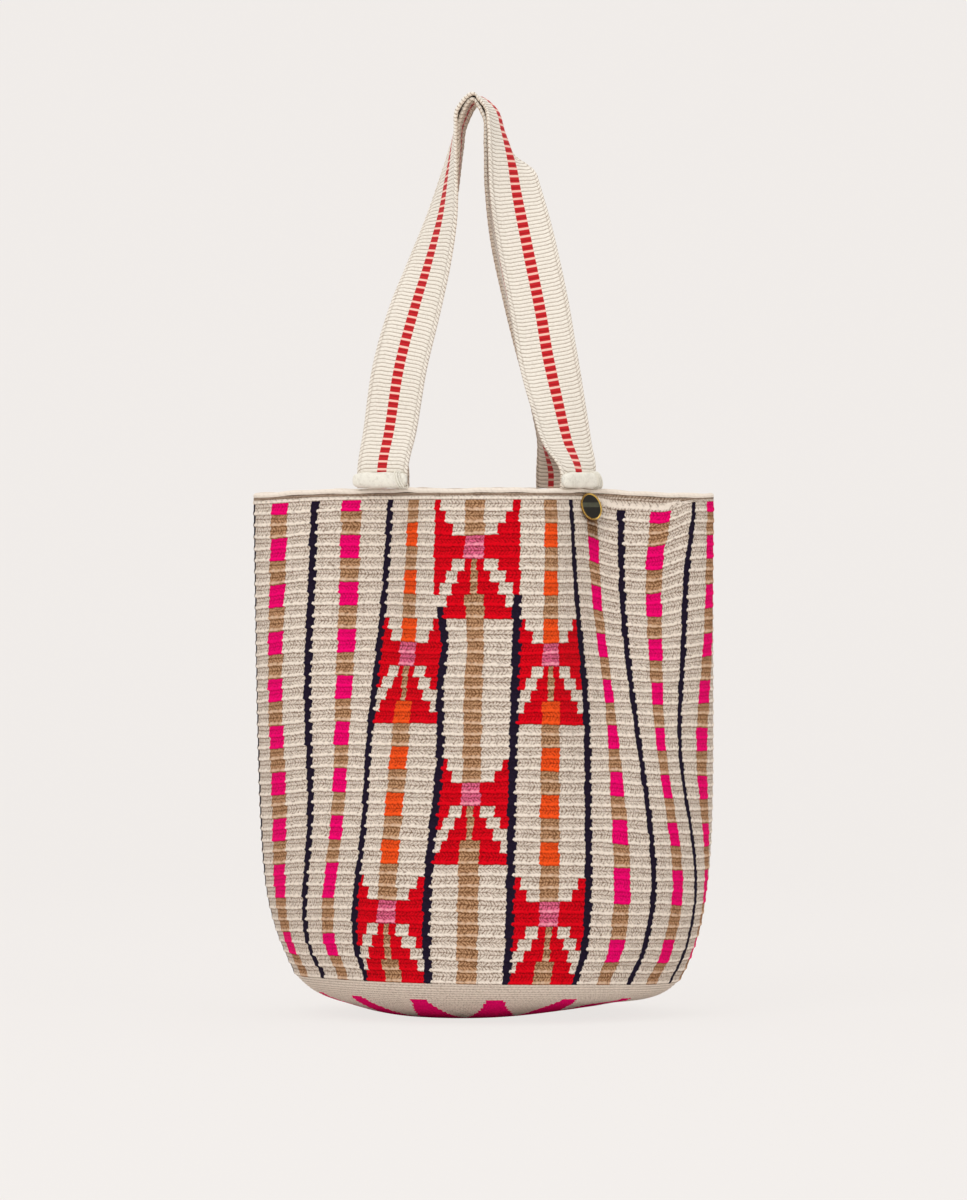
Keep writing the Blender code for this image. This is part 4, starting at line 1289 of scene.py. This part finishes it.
def roll_grid(size):
    """Points and places of a roll: a bar with a superellipse section, its ends rounded by a
    quarter of a superellipse."""
    reach = signed_power(np.linspace(-1.0, 1.0, ROLL_RINGS), 0.75)
    swell = (1 - np.abs(reach) ** ROLL_END_POWER) ** (1 / ROLL_END_POWER)
    angle = 2 * math.pi * np.arange(ROLL_SIDES + 1) / ROLL_SIDES
    deep = signed_power(np.cos(angle), ROLL_POWER) * size.roll_depth / 2
    tall = signed_power(np.sin(angle), ROLL_POWER) * size.roll_height / 2
    points = np.zeros((ROLL_RINGS, ROLL_SIDES, 3))
    points[..., 0] = (reach * (size.strap_width / 2 + size.roll_overhang))[:, None]
    points[..., 1] = swell[:, None] * deep[:-1]
    points[..., 2] = swell[:, None] * tall[:-1] + roll_bottom(size) + size.roll_height / 2
    points[..., 2] += 0.0002 * np.sin(9.0 * reach)[:, None]
    return points, angle, reach


def thread_grid(size, number):
    """Points and places of a slanted loop of thread round one end of a roll."""
    angle = np.linspace(0.0, 2 * math.pi, THREAD_RINGS + 1)
    deep, tall = (signed_power(wave(angle), ROLL_POWER) for wave in (np.cos, np.sin))
    sunk = size.thread_radius * 0.3
    start = size.strap_width / 2 - THREAD_INSET - THREAD_SPACING * number
    high = tall * (size.roll_height / 2 + sunk) + roll_bottom(size) + size.roll_height / 2
    path = np.stack((start - THREAD_SLANT * tall, deep * (size.roll_depth / 2 + sunk), high), axis=1)
    path[-1] = path[0]
    outward = np.stack((0 * angle, np.cos(angle), np.sin(angle)), axis=1)
    outward[-1] = outward[0]
    sideways = np.broadcast_to((1.0, 0.0, 0.0), path.shape)
    points = tube(path, sideways, outward, np.full((len(angle), THREAD_SIDES), size.thread_radius))
    return points, np.arange(THREAD_SIDES + 1.0), np.arange(THREAD_RINGS + 1.0)


def lathe(name, profile, size, centre, axis):
    """A profile, as shares of the disc's radius and thickness, turned about an axis."""
    side = axis.cross(Vector((0.0, 0.0, 1.0))).normalized()
    up = side.cross(axis)
    turn = 2 * math.pi * np.arange(DISC_SIDES) / DISC_SIDES
    radii, heights = (np.array(profile) * (size.disc_radius, size.disc_thickness)).T
    spokes = np.cos(turn)[:, None] * np.array(side) + np.sin(turn)[:, None] * np.array(up)
    points = radii[:, None, None] * spokes + heights[:, None, None] * np.array(axis)
    across, down = np.arange(DISC_SIDES + 1.0), np.arange(float(len(radii)))
    return add_surface(name, points + centre, across, down, True, caps=(False, True))


class BAG_OT_disc(bpy.types.Operator):
    """Builds the riveted disc, a brass rim round a dark mirror face, and gives its washer brass"""

    bl_idname = "bag.disc"
    bl_label = "Brass disc"

    def execute(self, context):
        size, colours = context.scene.bag_sizes, context.scene.bag_colours
        low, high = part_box("stud_cap")
        centre = np.array((low + high) / 2)
        stitches = np.array((STUD_STITCH - SEAT_STITCHES, STUD_STITCH + SEAT_STITCHES))
        share = 1.0 - size.disc_below_edge / (wall_top(size) - base_rise(size))
        left, right = wall_ring(size, stitches, share)
        below = wall_ring(size, stitches, share - SEAT_SHARE).mean(0)
        above = wall_ring(size, stitches, share + SEAT_SHARE).mean(0)
        outward = unit(np.cross(right - left, above - below))
        axis = Vector(outward + np.array(DISC_TURN)).normalized()
        brass = brass_material(colours)
        rim = lathe("disc_rim", RIM_PROFILE, size, centre, axis)
        finish_piece(rim, "brass", brass, "stud_cap")
        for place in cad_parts["stud_washer"].material_slots:
            place.material = brass
        face = lathe("disc_face", FACE_PROFILE, size, centre, axis)
        finish_piece(face, "brass", mirror_material(colours, float(centre[2])), "stud_cap")
        return {"FINISHED"}


def brass_material(colours):
    """Polished brass with faint scratches."""
    made, net, shader = new_material("Brass")
    worn = net.noise(net.solid(), 500.0, 3.0)
    net.put(shader.inputs["Base Color"], (*colours.brass, 1))
    net.put(shader.inputs["Roughness"], net.fit(worn, 0.15, 0.18))
    shader.inputs["Metallic"].default_value = 1.0
    return made


def mirror_material(colours, middle):
    """A dark polished face with a painted reflection across it, a paler streak just above its middle.
    """
    made, net, shader = new_material("Mirror")
    solid = net.solid()
    haze = net.noise(solid, 300.0)
    height = net.node("ShaderNodeSeparateXYZ", {"Vector": solid}).outputs["Z"]
    away = net.math("ABSOLUTE", net.math("SUBTRACT", height, middle + REFLECTION_HALF_HEIGHT))
    band = net.rest(net.step(away, REFLECTION_HALF_HEIGHT, REFLECTION_HALF_HEIGHT * 1.5))
    # painted reflection: a paler streak just above the face's middle
    streak = net.times(band, net.fit(haze, 0.4, 0.2))
    tone = net.mix(streak, (*colours.mirror, 1), (*colours.mirror_painted_reflection, 1))
    net.put(shader.inputs["Base Color"], tone)
    net.put(shader.inputs["Roughness"], net.fit(haze, 0.15, 0.35))
    shader.inputs["Metallic"].default_value = 0.6
    return made


class BAG_OT_stage(bpy.types.Operator):
    """Builds the plain floor and backdrop, the soft lamps and the camera"""

    bl_idname = "bag.stage"
    bl_label = "Stage"

    def execute(self, context):
        floor = (*context.scene.bag_colours.floor, 1)
        self.backdrop(floor)
        self.light(context, floor)
        self.camera(context)
        return {"FINISHED"}

    def backdrop(self, floor):
        """A floor that turns up into a backdrop, its colour shown plainly to the camera, with the
        object's shadow on it. It is clear from behind."""
        turn = np.linspace(0.0, math.pi / 2, SWEEP_STEPS)
        away = np.concatenate((SWEEP_RADIUS * np.sin(turn), [SWEEP_RADIUS]))
        points = np.zeros((len(away) + 1, 2, 3))
        points[..., 0] = (-SWEEP_HALF_WIDTH, SWEEP_HALF_WIDTH)
        points[0, :, 1] = FLOOR_FRONT
        points[1:, :, 1] = (FLOOR_BACK + away)[:, None]
        points[1:-1, :, 2] = (SWEEP_RADIUS * (1 - np.cos(turn)))[:, None]
        points[-1, :, 2] = SWEEP_TOP
        places = np.arange(float(len(points)))
        sweep = add_surface("backdrop", points[::-1], np.zeros(2), places)
        paper, net, shader = new_material("Backdrop")
        shader.inputs["Base Color"].default_value = floor
        shader.inputs["Roughness"].default_value = 1.0
        shader.inputs["Specular IOR Level"].default_value = 0.0
        plain = net.node("ShaderNodeEmission", {"Color": floor}).outputs[0]
        seen = net.node("ShaderNodeLightPath").outputs["Is Camera Ray"]
        share = net.times(seen, PLAIN_SHARE)
        mixed = net.node("ShaderNodeMixShader", {0: share, 1: shader.outputs[0], 2: plain})
        behind = net.node("ShaderNodeNewGeometry").outputs["Backfacing"]
        clear = net.node("ShaderNodeBsdfTransparent").outputs[0]
        sheet = net.node("ShaderNodeMixShader", {0: behind, 1: mixed.outputs[0], 2: clear})
        net.put(net.tree.nodes["Material Output"].inputs["Surface"], sheet.outputs[0])
        sweep.data.materials.append(paper)

    def light(self, context, floor):
        """A pale dome, which the camera sees in the floor's colour, and three large soft lamps."""
        world = bpy.data.worlds.new("Studio")
        world.use_nodes = True
        net = Net(world.node_tree)
        dome = net.tree.nodes["Background"]
        dome.inputs["Color"].default_value = DOME_TINT
        dome.inputs["Strength"].default_value = DOME_STRENGTH
        plain = net.node("ShaderNodeBackground", {"Color": floor, "Strength": 1.0}).outputs[0]
        seen = net.node("ShaderNodeLightPath").outputs["Is Camera Ray"]
        mixed = net.node("ShaderNodeMixShader", {0: seen, 1: dome.outputs[0], 2: plain})
        net.put(net.tree.nodes["World Output"].inputs["Surface"], mixed.outputs[0])
        context.scene.world = world
        for name, place, side, power in LAMPS:
            lamp = bpy.data.lights.new(name, "AREA")
            lamp.shape = "SQUARE"
            lamp.size = side
            lamp.energy = power
            holder = bpy.data.objects.new(name, lamp)
            holder.location = place
            holder.rotation_euler = (LAMP_AIM - Vector(place)).to_track_quat("-Z", "Y").to_euler()
            context.scene.collection.objects.link(holder)

    def camera(self, context):
        """The camera of the photograph, level but for a small drop."""
        lens = bpy.data.cameras.new("Camera")
        lens.lens = CAMERA_LENS
        lens.sensor_width = CAMERA_SENSOR
        lens.clip_start, lens.clip_end = CAMERA_CLIP
        holder = bpy.data.objects.new("Camera", lens)
        holder.location = (0.0, -CAMERA_DISTANCE, CAMERA_HEIGHT)
        holder.rotation_euler = (math.pi / 2 - math.atan2(CAMERA_DROP, CAMERA_DISTANCE), 0.0, 0.0)
        context.scene.collection.objects.link(holder)
        context.scene.camera = holder
        context.scene.view_settings.view_transform = "Standard"


class BAG_PT_panel(bpy.types.Panel):
    """The bag's panel in the sidebar"""

    bl_idname = "BAG_PT_panel"
    bl_label = "Shopper Bag"
    bl_space_type = "VIEW_3D"
    bl_region_type = "UI"
    bl_category = "Shopper Bag"

    def draw(self, context):
        for operator in OPERATORS:
            self.layout.operator(operator.bl_idname)
        for group in (context.scene.bag_sizes, context.scene.bag_colours):
            box = self.layout.box()
            for name in group.__annotations__:
                box.prop(group, name)


OPERATORS = (
    BAG_OT_wall,
    BAG_OT_base,
    BAG_OT_edge,
    BAG_OT_straps,
    BAG_OT_rolls,
    BAG_OT_disc,
    BAG_OT_stage,
)
CLASSES = (BagSizes, BagColours, *OPERATORS, BAG_PT_panel)


def register():
    """Registers the classes and the scene's settings."""
    for kind in CLASSES:
        bpy.utils.register_class(kind)
    bpy.types.Scene.bag_sizes = bpy.props.PointerProperty(type=BagSizes)
    bpy.types.Scene.bag_colours = bpy.props.PointerProperty(type=BagColours)


def unregister():
    """Takes the classes and the settings away again."""
    del bpy.types.Scene.bag_colours
    del bpy.types.Scene.bag_sizes
    for kind in reversed(CLASSES):
        bpy.utils.unregister_class(kind)


def main():
    """Builds the bag and its stage."""
    register()
    bpy.ops.bag.wall()
    bpy.ops.bag.base()
    bpy.ops.bag.edge()
    bpy.ops.bag.straps()
    bpy.ops.bag.rolls()
    bpy.ops.bag.disc()
    bpy.ops.bag.stage()


if __name__ == "__main__":
    main()
